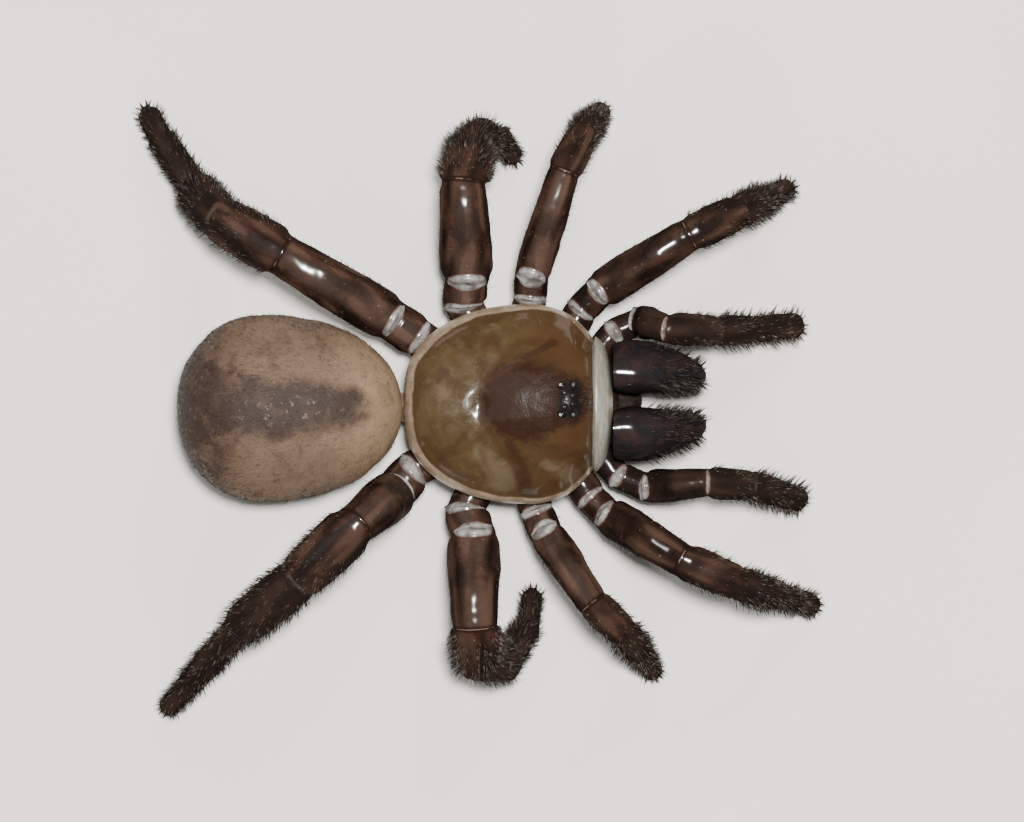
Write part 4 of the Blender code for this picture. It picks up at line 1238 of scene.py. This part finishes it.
    def grow(self, coat, draw, part, count, middle, spread, start, end, short, long, radius, lean, rings=2):
        """Bristles on one part; middle and spread of the turn are in degrees on both sides."""
        along = draw.uniform(start, end, count) * self.lengths[part]
        if spread >= 180:
            turn = draw.uniform(-math.pi, math.pi, count)
        else:
            side = draw.choice((-1, 1), count)
            turn = np.radians(side * middle + draw.normal(0, spread, count))
        roots, out = self.point(part, along, turn)
        way = self.ways[part]
        ways = out + np.outer(lean * draw.uniform(0.6, 1.3, count), way) + draw.normal(0, 0.12, (count, 3))
        coat.add(roots, ways, way * 0.15, draw.uniform(short, long, count),
                 radius * draw.uniform(0.8, 1.2, count),
                 self.spots(turn, part + along / self.lengths[part]), rings)

    def bristles(self, draw):
        brush = self.kind == "leg_3"
        thin = self.kind in ("palp", "leg_4")
        bare = 0.0 if self.kind in ("leg_2", "leg_3") else 0.15
        # Number on a square millimetre, then what grow() takes from middle on
        coats = {
            "coxa": [(1.6, 120, 200, 0.2, 0.9, 0.2, 0.4, 0.016, 0.6)],
            "trochanter": [(1.6, 110, 25, 0.3, 0.8, 0.2, 0.35, 0.016, 0.6)],
            "femur": [(1.4, 82, 16, 0.12, 0.97, 0.12, 0.3, 0.016, 1.1),
                      (2.0, 150, 25, 0.08, 0.97, 0.25, 0.5, 0.018, 0.9),
                      (0.4, 12, 12, 0.55, 0.98, 0.1, 0.22, 0.015, 1.0)],
            "patella": [(16 if brush else 5, 0, 200, 0.12 if brush else 0.4, 0.98, 0.22, 0.5, 0.019, 1.0),
                        (4, 78, 20, 0.1, 0.98, 0.25, 0.5, 0.021, 1.0)],
            "tibia": [(9 if thin else 18, 0, 200, bare, 1.0, 0.22, 0.5, 0.019, 1.1),
                      (5, 88, 18, 0.05, 1.0, 0.3, 0.6, 0.028, 1.0, 3)],
            "foot": [(14 if thin else 24, 0, 200, 0.0, 0.99, 0.2, 0.45, 0.019, 1.2),
                     (6, 88, 22, 0.0, 0.97, 0.28, 0.55, 0.028, 1.0, 3)],
        }
        if brush:
            coats["patella"] += [(5, 60, 22, 0.15, 0.98, 0.3, 0.6, 0.03, 0.8, 3),
                                 (3, 60, 35, 0.2, 1.0, 0.5, 0.85, 0.015, 0.5, 3)]
            coats["tibia"].append((3, 60, 35, 0.0, 1.0, 0.5, 0.85, 0.015, 0.5, 3))
        coat = Coat()
        for part, length in enumerate(self.lengths):
            area = 2 * math.pi * self.girth[part] * length
            for rate, *settings in list(coats.values())[min(part, 5)]:
                self.grow(coat, draw, part, int(area * rate), *settings)
        for part, (angle, count, size) in SPINES[self.kind].items():
            for sign in (1, -1):
                along = (np.linspace(0.12, 0.93, count) + draw.normal(0, 0.02, count)) * self.lengths[part]
                turn = np.radians(sign * (angle + draw.normal(0, 5, count)))
                roots, out = self.point(part, along, turn)
                ways = out + self.ways[part] * 0.6 + draw.normal(0, 0.06, (count, 3))
                coat.add(roots, ways, self.ways[part] * 0.12, size * draw.uniform(0.7, 1.15, count), 0.052,
                         self.spots(turn, part + 0.5), rings=4, sunk=0.12)
        coat.piece(f"{self.name}_bristles", BRUSH)
        coat = Coat()
        self.grow(coat, draw, 3, 90, 150, 22, 0.1, 0.95, 0.25, 0.5, 0.02, 0.7)
        self.grow(coat, draw, 4, 130, 150, 22, 0.05, 0.95, 0.25, 0.5, 0.02, 0.7)
        coat.piece(f"{self.name}_fringe", FRINGE)

    def claws(self):
        way = self.ways[-1]
        side = unit(np.cross(way, UP))
        level = unit((way[0], way[1], 0.0))
        t = np.linspace(0, 1, 18)
        forms = []
        for sign in ((0,) if self.palp else (1, -1)):
            start = self.joints[-1] - way * 0.25 + side * (0.13 * sign) + UP * 0.02
            fall = np.minimum(0.30 * t ** 1.7, start[2] - 0.07)
            path = start + np.outer(0.62 * t, level) + np.outer(0.07 * sign * t, side) - np.outer(fall, UP)
            path[:, 2] = np.maximum(path[:, 2], 0.05)
            forms.append(tube(path, 0.085 * (1 - t) ** 0.7 + 0.008, 12))
        mesh_piece(f"{self.name}_claws", joined(forms), FANG)


# Floor, light and camera

def build_floor():
    count = 24
    line = np.linspace(-900.0, 900.0, count)
    x, y = np.meshgrid(line, line, indexing="ij")
    i = np.arange(count - 1)[:, None] * count
    j = np.arange(count - 1)
    quads = rows(i + j, i + count + j, i + count + j + 1, i + j + 1).reshape(-1, 4)
    floor = new_object("floor", rows(x, y, -0.004).reshape(-1, 3) * MM, [quads], floor_material())


def add_light(name, place, size, power, colour, mirrored=True):
    data = bpy.data.lights.new(name, "AREA")
    data.shape = "DISK"
    data.size = size
    data.energy = power
    data.color = colour
    item = bpy.data.objects.new(name, data)
    item.location = place
    item.rotation_euler = (Vector((0.0, 0.0, 0.004)) - Vector(place)).to_track_quat("-Z", "Y").to_euler()
    item.visible_glossy = mirrored
    bpy.context.scene.collection.objects.link(item)


def build_lights():
    add_light("key", (0.02, 0.03, 0.345), 0.045, 2.9, (1.0, 0.985, 0.955))
    add_light("front_left", (0.10, 0.34, 0.26), 0.15, 0.75, (1.0, 0.99, 0.97), mirrored=False)
    add_light("right", (-0.02, -0.34, 0.27), 0.15, 0.4, (0.98, 0.99, 1.0), mirrored=False)
    add_light("soft", (-0.30, 0.10, 0.42), 0.60, 0.5, (0.98, 0.99, 1.0))
    world = bpy.context.scene.world or bpy.data.worlds.new("world")
    bpy.context.scene.world = world
    world.use_nodes = True
    sky = world.node_tree.nodes["Background"]
    sky.inputs["Color"].default_value = (0.95, 0.97, 1.0, 1.0)
    sky.inputs["Strength"].default_value = 0.12


def build_camera():
    """Straight down from 350 mm, with 61.44 mm across the picture at 5 mm over the floor."""
    data = bpy.data.cameras.new("camera")
    data.sensor_width = 36.0
    data.lens = 36.0 * 345.0 / 61.44
    data.clip_start = 0.01
    data.clip_end = 5.0
    camera = bpy.data.objects.new("camera", data)
    camera.location = (SHIFT + (1.41, 0.18, 350.0)) * MM
    bpy.context.scene.collection.objects.link(camera)
    bpy.context.scene.camera = camera


build_floor()
build_lights()
build_camera()
build_shield()
build_band()
build_eyes()
build_face_bristles(np.random.default_rng(3))
build_jaws(np.random.default_rng(4))
build_underside()
build_abdomen(np.random.default_rng(5))
build_spinnerets(np.random.default_rng(6))
for index, limb_name in enumerate(POSE):
    limb = Limb(limb_name)
    limb.build()
    limb.bristles(np.random.default_rng(20 + index))
    limb.claws()
